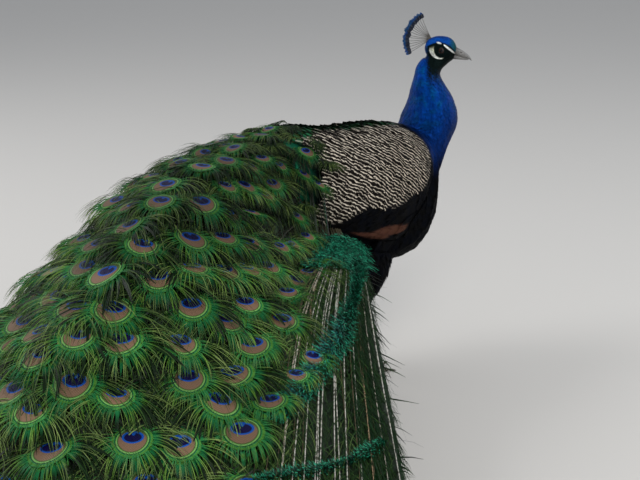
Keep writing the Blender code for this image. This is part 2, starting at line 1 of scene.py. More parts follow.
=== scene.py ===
"""Visual model of a standing peacock: skin, plumage, eyed train, crest and fittings.

All shapes are worked out in the bird's own frame (metres, the body facing +X, its left side on +Y,
the floor at Z = 0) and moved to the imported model's frame when a piece is finished.
"""
import itertools
import logging
import math
from collections.abc import Callable
from dataclasses import dataclass, field, replace
from enum import Enum
from typing import Self

import bpy
import numpy as np
from mathutils import Matrix, Vector
from mathutils.bvhtree import BVHTree


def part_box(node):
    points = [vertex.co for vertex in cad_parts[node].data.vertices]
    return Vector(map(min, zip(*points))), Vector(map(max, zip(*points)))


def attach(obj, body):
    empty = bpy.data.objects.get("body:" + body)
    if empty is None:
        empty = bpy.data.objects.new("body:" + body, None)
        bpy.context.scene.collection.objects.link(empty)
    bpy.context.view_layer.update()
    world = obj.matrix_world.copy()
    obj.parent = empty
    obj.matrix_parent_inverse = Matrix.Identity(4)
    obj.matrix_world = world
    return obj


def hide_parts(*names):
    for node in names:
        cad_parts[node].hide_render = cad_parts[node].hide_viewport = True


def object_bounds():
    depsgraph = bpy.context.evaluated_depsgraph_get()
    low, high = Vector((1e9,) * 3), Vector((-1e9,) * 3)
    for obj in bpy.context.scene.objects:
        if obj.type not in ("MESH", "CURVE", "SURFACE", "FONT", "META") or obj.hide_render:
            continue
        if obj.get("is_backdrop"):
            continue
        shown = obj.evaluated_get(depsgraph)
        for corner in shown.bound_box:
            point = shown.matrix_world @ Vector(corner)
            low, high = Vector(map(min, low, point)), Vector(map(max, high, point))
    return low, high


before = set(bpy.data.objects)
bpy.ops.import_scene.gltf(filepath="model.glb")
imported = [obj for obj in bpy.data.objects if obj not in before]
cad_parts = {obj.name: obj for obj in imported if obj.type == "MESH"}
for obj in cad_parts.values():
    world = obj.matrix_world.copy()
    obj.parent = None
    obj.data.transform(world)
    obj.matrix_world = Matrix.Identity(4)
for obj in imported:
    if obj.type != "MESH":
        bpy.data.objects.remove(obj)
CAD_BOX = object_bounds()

LOG = logging.getLogger("peacock")
Array = np.ndarray
Material, Socket, Thing = bpy.types.Material, bpy.types.NodeSocket, bpy.types.Object
Colour = tuple[float, float, float]
TRUNK_FRONT = 0.207  # X of the foremost point of the trunk in the bird's own frame


class Slot(Enum):
    """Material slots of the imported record."""

    BLUE = "plumage_blue"
    DARK = "plumage_dark"
    BARRED = "plumage_barred"
    SCALES = "plumage_scaly_green"
    CHESTNUT = "plumage_chestnut"
    TRAIN = "plumage_train"
    TAIL = "plumage_tail"
    BILL = "bill_horn"
    EYE = "eye"
    CLAW = "claw_horn"
    LEG = "leg_skin"


# ---- maths helpers ----------------------------------------------------------------------------
def bird_origin() -> Array:
    """Place of the bird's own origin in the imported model's frame."""
    low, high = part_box("trunk")
    return np.array((high[0] - TRUNK_FRONT, (low[1] + high[1]) / 2.0, 0.0))


ORIGIN = bird_origin()


def ease(low: float, high: float, at: Array) -> Array:
    """Ease from 0 at low to 1 at high.

    Args:
        low: Where the rise begins.
        high: Where it ends.
        at: Places to read.

    Returns:
        Values between 0 and 1.
    """
    t = np.clip((np.asarray(at, float) - low) / (high - low), 0.0, 1.0)
    return t * t * (3.0 - 2.0 * t)


def soft_ramp(at: Array, width: float) -> Array:
    """Ramp that is 0 for low values and rises one for one above 0, with a corner of a roundness."""
    return width * np.log1p(np.exp(np.minimum(np.asarray(at) / width, 40.0)))


def read_rows(rows: tuple, at: Array) -> Array:
    """Read a table of rows (key, values...) smoothly at many places.

    Args:
        rows: Rows in rising order of their key.
        at: Keys to read at.

    Returns:
        Array with one more axis than at, holding the values.
    """
    table = np.asarray(rows, float)
    keys = table[:, 0]
    at = np.clip(np.asarray(at, float), keys[0], keys[-1])
    k = np.clip(np.searchsorted(keys, at, side="right") - 1, 0, len(keys) - 2)
    before, here = table[np.maximum(k - 1, 0)], table[k]
    there, after = table[k + 1], table[np.minimum(k + 2, len(keys) - 1)]
    span = there[..., :1] - here[..., :1]
    t = (at[..., None] - here[..., :1]) / span
    slope_a = (there - before) / np.maximum(there[..., :1] - before[..., :1], 1e-9) * span
    slope_b = (after - here) / np.maximum(after[..., :1] - here[..., :1], 1e-9) * span
    value = (2 * t**3 - 3 * t**2 + 1) * here + (t**3 - 2 * t**2 + t) * slope_a
    value = value + (3 * t**2 - 2 * t**3) * there + (t**3 - t**2) * slope_b
    return value[..., 1:]


def columns(*values: Array | float) -> Array:
    """Lay values side by side along a new last axis."""
    return np.stack(np.broadcast_arrays(*values), -1)


def circle(count: int) -> Array:
    """Angles spaced evenly round a full turn, radians."""
    return np.linspace(0.0, 2.0 * math.pi, count, endpoint=False)


def unit(vectors: Array) -> Array:
    """Scale vectors to length one along their last axis."""
    return vectors / np.maximum(np.linalg.norm(vectors, axis=-1, keepdims=True), 1e-12)


def grid_quads(rows: int, cols: int, closed: bool = False) -> Array:
    """Faces of a grid of points.

    Args:
        rows: Rows of points.
        cols: Columns of points.
        closed: True to join the last column to the first.

    Returns:
        Array of point numbers, four to a face.
    """
    r, c = np.meshgrid(np.arange(rows - 1), np.arange(cols if closed else cols - 1), indexing="ij")
    a, b = r * cols + c, r * cols + (c + 1) % cols
    return columns(a, b, b + cols, a + cols).reshape(-1, 4)


def tile_faces(faces: Array, points_each: int, copies: int) -> Array:
    """Repeat a face list for many copies of one shape with so many points each."""
    shift = np.arange(copies)[:, None, None] * points_each
    return (faces[None] + shift).reshape(-1, faces.shape[1])


# ---- shader helpers ---------------------------------------------------------------------------
def operator(operation: str, turned: bool = False) -> Callable[..., "Field"]:
    """Make a method that adds one Math node.

    Args:
        operation: The node's operation.
        turned: True to swap its two inputs.

    Returns:
        The method.
    """
    def apply(self: "Field", *other: "Field | float") -> "Field":
        """Result of the operation on this value and the others."""
        values = (self, *other)
        return self.paint.math(operation, *(values[::-1] if turned else values))
    return apply


class Field:
    """A number inside a material; arithmetic on it lays down Math nodes."""

    __add__ = __radd__ = operator("ADD")
    __mul__ = __rmul__ = operator("MULTIPLY")
    __sub__, __rsub__ = operator("SUBTRACT"), operator("SUBTRACT", True)
    __truediv__, __rtruediv__ = operator("DIVIDE"), operator("DIVIDE", True)
    __pow__, __abs__ = operator("POWER"), operator("ABSOLUTE")
    sine, most = operator("SINE"), operator("MAXIMUM")

    def __init__(self, paint: "Paint", socket: Socket) -> None:
        """Wrap one output socket of a paint."""
        self.paint, self.socket = paint, socket

    def rise(self, low: float, high: float) -> "Field":
        """Ease from 0 at low to 1 at high (low may be the greater).

        Args:
            low: Value that gives 0.
            high: Value that gives 1.

        Returns:
            The eased value.
        """
        flip = low > high
        ends = {"From Min": min(low, high), "From Max": max(low, high),
                "To Min": 1.0 if flip else 0.0, "To Max": 0.0 if flip else 1.0, "Value": self}
        made = self.paint.node("ShaderNodeMapRange", {"interpolation_type": "SMOOTHSTEP"}, ends)
        return Field(self.paint, made.outputs["Result"])


class Paint:
    """A Principled material and the means to lay nodes in front of it."""

    def __init__(self, name: str, **constants: float) -> None:
        """Start a material.

        Args:
            name: Name of the material.
            constants: Principled inputs to set, with spaces written as underscores.
        """
        self.material = bpy.data.materials.new(name)
        self.material.use_nodes = True
        self.tree = self.material.node_tree
        self.shader = self.tree.nodes["Principled BSDF"]
        for key, value in constants.items():
            self.shader.inputs[key.replace("_", " ")].default_value = value

    def feed(self, socket: Socket, value: object) -> None:
        """Link or set one input socket.

        Args:
            socket: The input.
            value: A Field, an output socket, a number or a tuple of numbers.
        """
        if isinstance(value, Field):
            self.tree.links.new(value.socket, socket)
        elif isinstance(value, Socket):
            self.tree.links.new(value, socket)
        elif isinstance(value, tuple) and socket.type == "RGBA":
            socket.default_value = (*value[:3], 1.0)
        else:
            socket.default_value = value

    def node(self, kind: str, settings: dict | None = None, sockets: dict | None = None) -> bpy.types.Node:
        """Add any node.

        Args:
            kind: Node type.
            settings: Properties to set first.
            sockets: Input name or number to value.

        Returns:
            The node.
        """
        made = self.tree.nodes.new(kind)
        for key, value in (settings or {}).items():
            setattr(made, key, value)
        for key, value in (sockets or {}).items():
            self.feed(made.inputs[key], value)
        return made

    def math(self, operation: str, *values: "Field | float") -> Field:
        """Add one Math node with its inputs in order."""
        made = self.node("ShaderNodeMath", {"operation": operation}, dict(enumerate(values)))
        return Field(self, made.outputs[0])

    def vector(self, name: str) -> Socket:
        """Vector output of a named mesh attribute."""
        return self.node("ShaderNodeAttribute", {"attribute_name": name}).outputs["Vector"]

    def parts(self, vector: Socket) -> tuple[Field, Field, Field]:
        """Split a vector into three numbers."""
        made = self.node("ShaderNodeSeparateXYZ", None, {0: vector})
        return tuple(Field(self, made.outputs[k]) for k in range(3))

    def noise(self, where: Socket, scale: float, detail: float = 2.0) -> Field:
        """Soft noise between 0 and 1, with so many lumps to the metre and finer layers."""
        made = self.node("ShaderNodeTexNoise", None, {"Vector": where, "Scale": scale, "Detail": detail})
        return Field(self, made.outputs["Fac"])

    def mix(self, share: "Field | float", base: object, over: object) -> Socket:
        """Blend two colours; the share is how much of the second."""
        made = self.node("ShaderNodeMix", {"data_type": "RGBA"}, {0: share, 6: base, 7: over})
        return made.outputs[2]

    def coats(self, base: object, *layers: tuple) -> object:
        """Lay colours over one another.

        Args:
            base: Lowest colour.
            layers: Share and colour of each layer over it, in order.

        Returns:
            The blended colour.
        """
        for share, over in layers:
            base = self.mix(share, base, over)
        return base

    def shade(self, colour: object, amount: "Field | float") -> Socket:
        """Multiply a colour by a number."""
        made = self.node("ShaderNodeVectorMath", {"operation": "SCALE"}, {0: colour, "Scale": amount})
        return made.outputs[0]

    def dress(self, colour: object, rough: "Field | float", bump: Field | None = None,
              strength: float = 0.3, depth: float = 0.001, metal: Field | None = None) -> Material:
        """Feed the shader and hand the material over.

        Args:
            colour: Base colour.
            rough: Roughness.
            bump: Height for a Bump node.
            strength: Its strength.
            depth: Its distance in metres.
            metal: Share of coloured sheen.

        Returns:
            The finished material.
        """
        if metal is not None:
            self.feed(self.shader.inputs["Metallic"], metal)
        self.feed(self.shader.inputs["Base Color"], colour)
        self.feed(self.shader.inputs["Roughness"], rough)
        if bump is not None:
            sockets = {"Height": bump, "Strength": strength, "Distance": depth}
            made = self.node("ShaderNodeBump", None, sockets)
            self.feed(self.shader.inputs["Normal"], made.outputs["Normal"])
        return self.material


# ---- mesh pieces ------------------------------------------------------------------------------
@dataclass
class Piece:
    """One named mesh under construction, in the bird's own frame."""

    name: str
    points: list[Array] = field(default_factory=list)
    faces: list[Array] = field(default_factory=list)
    patches: list[Array] = field(default_factory=list)
    values: dict[str, list[Array]] = field(default_factory=dict)
    count: int = 0

    def add(self, points: Array, faces: Array, patches: Array | None = None, **values: Array) -> None:
        """Add points and faces.

        Args:
            points: Points, three numbers each.
            faces: Point numbers, three or four to a face.
            patches: Place of each point on the paint map.
            values: Named vectors, one to a point.
        """
        points = np.asarray(points, float).reshape(-1, 3)
        self.points.append(points)
        self.faces.append(np.asarray(faces, int) + self.count)
        if patches is not None:
            self.patches.append(np.asarray(patches, float).reshape(-1, 2))
        for key, value in values.items():
            self.values.setdefault(key, []).append(np.asarray(value, float).reshape(-1, 3))
        self.count += len(points)

    def make(self, material: Material, slot: Slot, *replaced: str) -> Thing:
        """Turn the piece into an object of the model.

        Args:
            material: Its material.
            slot: Its slot in the record.
            replaced: CAD nodes it stands in for.

        Returns:
            The object.
        """
        mesh = bpy.data.meshes.new(self.name)
        points = np.concatenate(self.points) + ORIGIN
        loops = np.concatenate([f.reshape(-1) for f in self.faces])
        sizes = np.concatenate([np.full(len(f), f.shape[1]) for f in self.faces])
        mesh.vertices.add(len(points))
        mesh.vertices.foreach_set("co", points.reshape(-1))
        mesh.loops.add(len(loops))
        mesh.loops.foreach_set("vertex_index", loops)
        mesh.polygons.add(len(sizes))
        mesh.polygons.foreach_set("loop_start", np.concatenate(([0], np.cumsum(sizes)[:-1])))
        mesh.polygons.foreach_set("use_smooth", np.ones(len(sizes), bool))
        mesh.update(calc_edges=True)
        if self.patches:
            layer = mesh.uv_layers.new(name="OFBake")
            layer.data.foreach_set("uv", np.concatenate(self.patches)[loops].reshape(-1))
        for key, parts in self.values.items():
            store = mesh.attributes.new(key, "FLOAT_VECTOR", "POINT")
            store.data.foreach_set("vector", np.concatenate(parts).reshape(-1))
        item = bpy.data.objects.new(self.name, mesh)
        bpy.context.scene.collection.objects.link(item)
        mesh.materials.append(material)
        enter(item, slot, *replaced)
        return item


def enter(item: Thing, slot: Slot, *replaced: str) -> None:
    """Enter an object in the model.

    Args:
        item: The object.
        slot: Its slot in the record; not used.
        replaced: CAD nodes it stands in for.
    """
    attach(item, "root")
    if replaced:
        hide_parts(*replaced)
    LOG.info("%s: %d faces", item.name, len(item.data.polygons))


def read_node(name: str) -> tuple[Array, Array]:
    """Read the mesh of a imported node, with doubled points joined.

    Args:
        name: The node.

    Returns:
        Its points in the model's frame and its triangles.
    """
    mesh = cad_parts[name].data
    at = np.zeros(len(mesh.vertices) * 3)
    mesh.vertices.foreach_get("co", at)
    _, first, back = np.unique(at.reshape(-1, 3).round(6), axis=0, return_index=True, return_inverse=True)
    mesh.calc_loop_triangles()
    tris = np.zeros(len(mesh.loop_triangles) * 3, int)
    mesh.loop_triangles.foreach_get("vertices", tris)
    return at.reshape(-1, 3)[first], back.reshape(-1)[tris].reshape(-1, 3)


@dataclass
class Seeded:
    """A sub-assembly with a source of chance of its own."""

    seed: int

    def __post_init__(self) -> None:
        """Start the source of chance."""
        self.rng = np.random.default_rng(self.seed)


# ---- the bird's form --------------------------------------------------------------------------
@dataclass
class HeadForm:
    """Where the head stands and which way it points."""

    heading: float = math.radians(-48.0)
    tilt: float = math.radians(15.0)
    eye_line: tuple[float, float, float] = (0.170, 0.130, 0.628)
    eye_out: float = 0.0153
    eye_radius: float = 0.0064

    def axes(self) -> Array:
        """Find the head's own directions.

        Returns:
            Unit vectors along the bill, up and across the head, as rows.
        """
        c, s = math.cos(self.heading), math.sin(self.heading)
        ct, st = math.cos(self.tilt), math.sin(self.tilt)
        return np.array(((c * ct, s * ct, -st), (c * st, s * st, ct), (-s, c, 0.0)))

    def middle(self) -> Array:
        """Find the head's middle.

        Returns:
            Point midway between the eyes.
        """
        c, s = math.cos(self.heading), math.sin(self.heading)
        run, off, rise = self.eye_line
        return np.array((run * c - off * s, run * s + off * c, rise))

    def to_head(self, points: Array) -> Array:
        """Express points along, up and across the head, from between the eyes."""
        return (np.asarray(points) - self.middle()) @ self.axes().T

    def to_bird(self, points: Array) -> Array:
        """Turn head measures back into the bird's frame."""
        return np.asarray(points) @ self.axes() + self.middle()


@dataclass
class BodyForm:
    """The body envelope and the edges of its feather pads."""

    power: float = 2.3
    rear: float = -0.285
    sections: tuple = (
        (-0.285, 0.445, 0.085, 0.098, 0.088), (-0.255, 0.438, 0.093, 0.104, 0.098),
        (-0.220, 0.428, 0.103, 0.112, 0.108), (-0.170, 0.412, 0.113, 0.128, 0.118),
        (-0.120, 0.400, 0.114, 0.143, 0.124), (-0.060, 0.388, 0.119, 0.158, 0.128),
        (0.000, 0.378, 0.126, 0.168, 0.128), (0.060, 0.370, 0.129, 0.168, 0.124),
        (0.110, 0.368, 0.124, 0.163, 0.112), (0.150, 0.370, 0.106, 0.145, 0.090),
        (0.180, 0.376, 0.078, 0.112, 0.064), (0.207, 0.386, 0.018, 0.026, 0.014))
    wing_low: tuple = ((-0.285, -38.0), (-0.230, -37.5), (-0.190, -34.0), (-0.145, -17.0), (-0.100, -4.0),
                       (-0.052, -8.5), (-0.020, -5.0), (0.015, -1.0), (0.070, 4.0), (0.120, 8.0))
    wing_high: tuple = ((-0.285, 46.0), (-0.200, 63.0), (-0.130, 79.0), (0.000, 80.0), (0.120, 78.0))
    wing_front: tuple = ((-40.0, 0.060), (3.0, 0.066), (12.0, 0.080), (27.0, 0.100), (43.0, 0.098),
                         (55.0, 0.090), (68.0, 0.080), (82.0, 0.066))
    train_front: tuple = ((-40.0, -0.240), (-20.0, -0.216), (0.0, -0.202), (30.0, -0.206), (60.0, -0.236),
                          (82.0, -0.258))
    primary_low: tuple = ((-0.150, -37.5), (-0.066, -37.5), (-0.038, -31.0), (0.012, -26.0))
    primary_high: tuple = ((-0.150, -36.5), (-0.103, -32.0), (-0.056, -24.0), (0.012, -22.0))

    def turn(self, points: Array) -> Array:
        """Find where points stand round the body's middle line.

        Args:
            points: Points in the bird's frame.

        Returns:
            Degrees above the horizontal.
        """
        rows = read_rows(self.sections, points[:, 0])
        rise = points[:, 2] - rows[:, 0]
        reach = np.where(rise >= 0, rows[:, 1], rows[:, 2])
        out = np.abs(points[:, 1]) / rows[:, 3]
        up = np.sign(rise) * np.abs(rise / reach) ** (self.power / 2.0)
        return np.degrees(np.arctan2(up, out ** (self.power / 2.0)))

    def pads(self, points: Array) -> Array:
        """How far each point belongs to the barred wing, the scaly back and the chestnut primaries.

        Args:
            points: Points in the bird's frame.

        Returns:
            Three shares to a point.
        """
        x = points[:, 0]
        turn = self.turn(points)
        low, high = read_rows(self.wing_low, x)[:, 0], read_rows(self.wing_high, x)[:, 0]
        front = read_rows(self.wing_front, turn)[:, 0]
        fore = 1.0 - ease(-0.004, 0.004, x - front)
        near = (points[:, 2] < 0.54) & (points[:, 2] > 0.28) & (x < 0.16)
        wing = ease(-1.5, 1.5, turn - low) * (1.0 - ease(-2.0, 2.0, turn - high)) * fore
        back = ease(-2.0, 2.0, turn - high) * (1.0 - ease(-0.004, 0.004, x - front - 0.012))
        # Behind the train's front edge the wing and back pads are cleared, so the body there takes its dark
        # colour: painted shade under the train's edge.
        clear = ease(-0.004, 0.006, x - read_rows(self.train_front, turn)[:, 0])
        wing, back = wing * clear, back * clear
        base, top = read_rows(self.primary_low, x)[:, 0], read_rows(self.primary_high, x)[:, 0]
        chestnut = ease(-0.8, 0.8, turn - base) * (1.0 - ease(-0.8, 0.8, turn - top))
        chestnut = chestnut * (1.0 - ease(0.004, 0.012, x)) * ease(-0.150, -0.135, x)
        return columns(wing, back, chestnut) * near[:, None]

    def top(self, flat: Array) -> Array:
        """Find how high the body's upper side stands.

        Args:
            flat: Points on plan.

        Returns:
            The height over each, or 0 beside the body.
        """
        rows = read_rows(self.sections, flat[..., 0])
        out = np.abs(flat[..., 1]) / rows[..., 3]
        rise = rows[..., 0] + rows[..., 1] * (1.0 - np.minimum(out, 1.0) ** self.power) ** (1.0 / self.power)
        return np.where((out < 1.0) & (flat[..., 0] > self.rear), rise, 0.0)

    def folded(self, points: Array) -> Array:
        """Find the black coverts and the primaries of the folded wing.

        Args:
            points: Points in the bird's frame.

        Returns:
            True for points on them.
        """
        x, turn = points[:, 0], self.turn(points)
        low = read_rows(self.wing_low, x)[:, 0]
        return (turn < low) & (turn > -38.5) & (x < 0.050) & (x > -0.262) & (points[:, 2] > 0.27)


@dataclass
class TrainForm:
    """The draped surface over which the train feathers lie."""

    centre: float = -0.030
    low: float = -47.0
    high: float = 46.0
    lie: float = 0.014
    bend_ease: float = 0.080
    tip_bend: float = 1.00
    tip_fall: float = 0.36
    rows: tuple = (
        (-50.0, 0.310, 0.28, 0.72, 0.80), (-33.0, 0.342, 0.35, 0.80, 0.95), (-27.0, 0.350, 0.38, 0.85, 1.01),
        (-20.0, 0.430, 0.42, 0.90, 1.08), (-12.0, 0.515, 0.46, 0.86, 1.18), (0.0, 0.532, 0.52, 0.76, 1.31),
        (12.0, 0.515, 0.65, 0.72, 1.38), (20.0, 0.430, 0.70, 0.70, 1.40), (27.0, 0.345, 0.70, 0.60, 1.39),
        (33.0, 0.332, 0.60, 0.46, 1.37), (40.0, 0.318, 0.44, 0.34, 1.33), (50.0, 0.308, 0.20, 0.22, 1.26))

    def polar(self, flat: Array) -> tuple[Array, Array]:
        """Distance from the fan's centre and degrees round it (right side positive) of points on plan."""
        dx, dy = self.centre - flat[..., 0], -flat[..., 1]
        return np.hypot(dx, dy), np.degrees(np.arctan2(dy, dx))

    def plan(self, reach: Array, degrees: Array) -> Array:
        """Point on plan at a distance and an angle of the fan."""
        turn = np.radians(degrees)
        return columns(self.centre - reach * np.cos(turn), -reach * np.sin(turn))

    def height(self, flat: Array) -> Array:
        """Find how high the train's top stands.

        Args:
            flat: Points on plan.

        Returns:
            The height over each.
        """
        reach, degrees = self.polar(flat)
        row = read_rows(self.rows, degrees)
        drop = row[..., 2] * soft_ramp(reach - row[..., 1], self.bend_ease)
        drop = drop + self.tip_fall * soft_ramp(reach - self.tip_bend, 0.05)
        return self.lie + soft_ramp(row[..., 0] - drop - self.lie, 0.016)

    def slope(self, flat: Array, step: float = 0.006) -> Array:
        """Rise of the train's top per metre along X and along Y, measured over a step."""
        return np.stack([(self.height(flat + shift) - self.height(flat - shift)) / (2.0 * step)
                         for shift in np.eye(2) * step], -1)

    def start(self, degrees: Array) -> Array:
        """Distance at which the train leaves the body."""
        turn = np.radians(degrees)
        return ((np.abs(np.cos(turn)) / 0.2595) ** 8 + (np.abs(np.sin(turn)) / 0.131) ** 8) ** -0.125

    def end(self, degrees: Array) -> Array:
        """Distance of the train's edge."""
        return read_rows(self.rows, degrees)[..., 3]

    def depth(self, reach: Array) -> Array:
        """Thickness of the train."""
        return 0.044 - 0.030 * ease(0.22, 0.65, reach)


HEAD = HeadForm()
BODY = BodyForm()
TRAIN = TrainForm()


# ---- finishes ---------------------------------------------------------------------------------
@dataclass(frozen=True)
class BodyPaint:
    """Markings of the skin and of the small feathers on it."""

    royal: Colour = (0.0010, 0.034, 0.210)
    deep: Colour = (0.001, 0.013, 0.100)
    teal: Colour = (0.0015, 0.062, 0.190)
    black: Colour = (0.0016, 0.0016, 0.0017)
    navy: Colour = (0.0013, 0.0018, 0.0036)
    mask: Colour = (0.0040, 0.0085, 0.0080)
    crown: Colour = (0.004, 0.062, 0.330)
    crown_front: Colour = (0.012, 0.100, 0.120)
    cream: Colour = (0.620, 0.640, 0.480)
    white: Colour = (0.780, 0.800, 0.760)
    buff: Colour = (0.570, 0.505, 0.410)
    bar: Colour = (0.012, 0.010, 0.009)
    bar_front: Colour = (0.020, 0.050, 0.024)
    bronze: Colour = (0.028, 0.070, 0.016)
    scale_edge: Colour = (0.004, 0.012, 0.006)
    scale_green: Colour = (0.012, 0.110, 0.045)
    chestnut: Colour = (0.066, 0.028, 0.017)
    flight_edge: Colour = (0.060, 0.024, 0.016)
    leg: Colour = (0.200, 0.175, 0.150)
    leg_dark: Colour = (0.085, 0.070, 0.058)
    rump: Colour = (0.006, 0.110, 0.055)

    def head_marks(self, paint: Paint, colour: object, height: Field) -> Socket:
        """Lay the head's markings over a colour.

        Args:
            paint: The paint in hand.
            colour: Colour of the neck.
            height: Height above the floor.

        Returns:
            The colour with crown, mask and white marks.
        """
        u, v, _ = paint.parts(paint.vector("headwise"))
        ragged = paint.noise(paint.vector("place"), 420.0, 1.0) - 0.5
        edge = v + (u - 0.001) * (u - 0.001) * 15.5 + ragged * 0.003
        cap = edge.rise(0.0155, 0.0175)
        near = u.rise(-0.046, -0.036) * height.rise(0.560, 0.585)
        crown = paint.mix(u.rise(0.006, 0.026), self.crown, self.crown_front)
        crown = paint.shade(crown, 0.55 + paint.noise(paint.vector("headwise"), 700.0, 2.0) * 0.9)
        mask = (1.0 - cap) * (u + v * 0.30 + ragged * 0.016).rise(-0.0375, -0.0265)
        mask = mask * (height + ragged * 0.060).rise(0.546, 0.586)
        du, dv = u + 0.001, v - 0.0035
        away = (du * du + dv * dv) ** 0.5
        low = (u * 0.60 - v).rise(-0.017, -0.006)
        wide = (dv - du * 0.9).rise(-0.034, 0.014) * 0.0038
        ring = abs(away + ragged * 0.0022 - 0.0200) - wide
        cheek = ring.rise(0.0014, 0.0002) * low * (u - v * 0.35).rise(0.0145, 0.0100) * v.rise(0.0110, 0.0070)
        tone = paint.mix((v + u * 0.4).rise(-0.020, -0.006), self.white, self.cream)
        lore = abs(v - 0.0138 + u * 0.440 + ragged * 0.0008)
        taper = (0.0245 - abs(u - 0.0150)).rise(0.006, 0.0175) * 0.0017
        stripe = (lore - taper).rise(0.0008, 0.0) * u.rise(0.0005, 0.0030)
        brow = (((u + 0.0088) / 0.0052) ** 2.0 + ((v - 0.0140) / 0.0019) ** 2.0).rise(1.25, 0.75)
        return paint.coats(colour, (cap * near, crown), (mask, self.mask), (cheek, tone),
                           (stripe.most(brow), self.white))

    def bars(self, paint: Paint, x: Field, z: Field, own: Field, across: Field) -> Field:
        """Wavy dark bars across the wing, 1 where a bar is.

        Args:
            paint: The paint in hand.
            x: Place along the body.
            z: Height.
            own: Number of the feather's own, 0 to 1.
            across: Place across the feather, -1 to 1.

        Returns:
            Share of dark.
        """
        place = paint.vector("place")
        broad, fine = paint.noise(place, 30.0, 2.0), paint.noise(place, 150.0, 2.0)
        ahead = x + 0.17
        wave = x * 72.0 + ahead * ahead * 62.0 + z * 128.0 + across * across * 0.20
        wave = wave + (broad - 0.5) * 2.0 + (fine - 0.5) * 0.55 + own * 0.45
        swing = (wave * (2.0 * math.pi)).sine() + (fine - 0.5) * 0.9
        return 1.0 - swing.rise(0.42, 0.92)

    def make(self, name: str, on_coat: bool) -> Material:
        """Build the material.

        Args:
            name: Its name.
            on_coat: True for small feathers, False for the skin under them.

        Returns:
            The material.
        """
        paint = Paint(name, IOR=1.45, Specular_IOR_Level=0.03)
        x, _, z = paint.parts(paint.vector("place"))
        wing, back, flight = paint.parts(paint.vector("pads"))
        along, across, own = paint.parts(paint.vector("plume"))
        place = paint.vector("place")
        mottle = paint.noise(place, 60.0, 3.0)
        fine = paint.noise(place, 900.0, 1.0)
        royal = paint.mix(mottle.rise(0.3, 0.7), self.royal, self.teal)
        # Painted shade and painted light: the neck blue is darker low down and brighter towards the head.
        royal = paint.mix(z.rise(0.53, 0.43) * 0.9, royal, self.deep)
        royal = paint.mix(mottle.rise(0.40, 0.62) * 0.7, self.royal, royal)
        # Painted light: brighter towards the top of the neck.
        royal = paint.shade(royal, 0.66 + z.rise(0.46, 0.53) * 0.34 + z.rise(0.545, 0.60) * 0.35)
        dark = paint.mix(mottle.rise(0.35, 0.7), self.black, self.navy)
        blue = (z + (mottle - 0.5) * 0.03).rise(0.372, 0.440) * x.rise(0.095, 0.125)
        neck = self.head_marks(paint, paint.mix(blue, dark, royal), z)
        barred = paint.coats(self.buff, (self.bars(paint, x, z, own, across), self.bar),
                             (x.rise(0.128, 0.144) * 0.75, self.bar_front))
        rim = (across * across * 0.9 + along * along).rise(0.62, 0.88)
        scale = paint.mix((along - abs(across) * 0.3).rise(0.20, 0.62), self.bronze, self.scale_green)
        quill = paint.mix(along.rise(0.55, 0.98), self.chestnut, self.flight_edge)
        leg = paint.mix(paint.noise(place, 330.0, 0.0).rise(0.35, 0.62), self.leg_dark, self.leg)
        colour = paint.coats(
            neck, (x.rise(-0.235, -0.275), self.rump), (wing, barred),
            (back, paint.mix(rim, scale, self.scale_edge)), (flight, quill),
            (z.rise(0.100, 0.090) if on_coat else z.rise(0.150, 0.140), leg))
        shadow = 0.62 + along.rise(0.0, 0.75) * 0.45 + (own - 0.5) * 0.35 + (fine - 0.5) * 0.5
        colour = paint.shade(colour, shadow if on_coat else fine * 0.3 + 0.75)
        gloss = 0.62 - z.rise(0.40, 0.47) * 0.22 + wing * 0.20 + (mottle - 0.5) * 0.10
        strands = (across * 38.0 + along * 9.0).sine() * 0.5 + fine
        sheen = z.rise(0.40, 0.47) * (1.0 - wing) * (1.0 - back) * 0.75
        return paint.dress(colour, gloss, strands if on_coat else fine, 0.35, 0.0006, sheen)


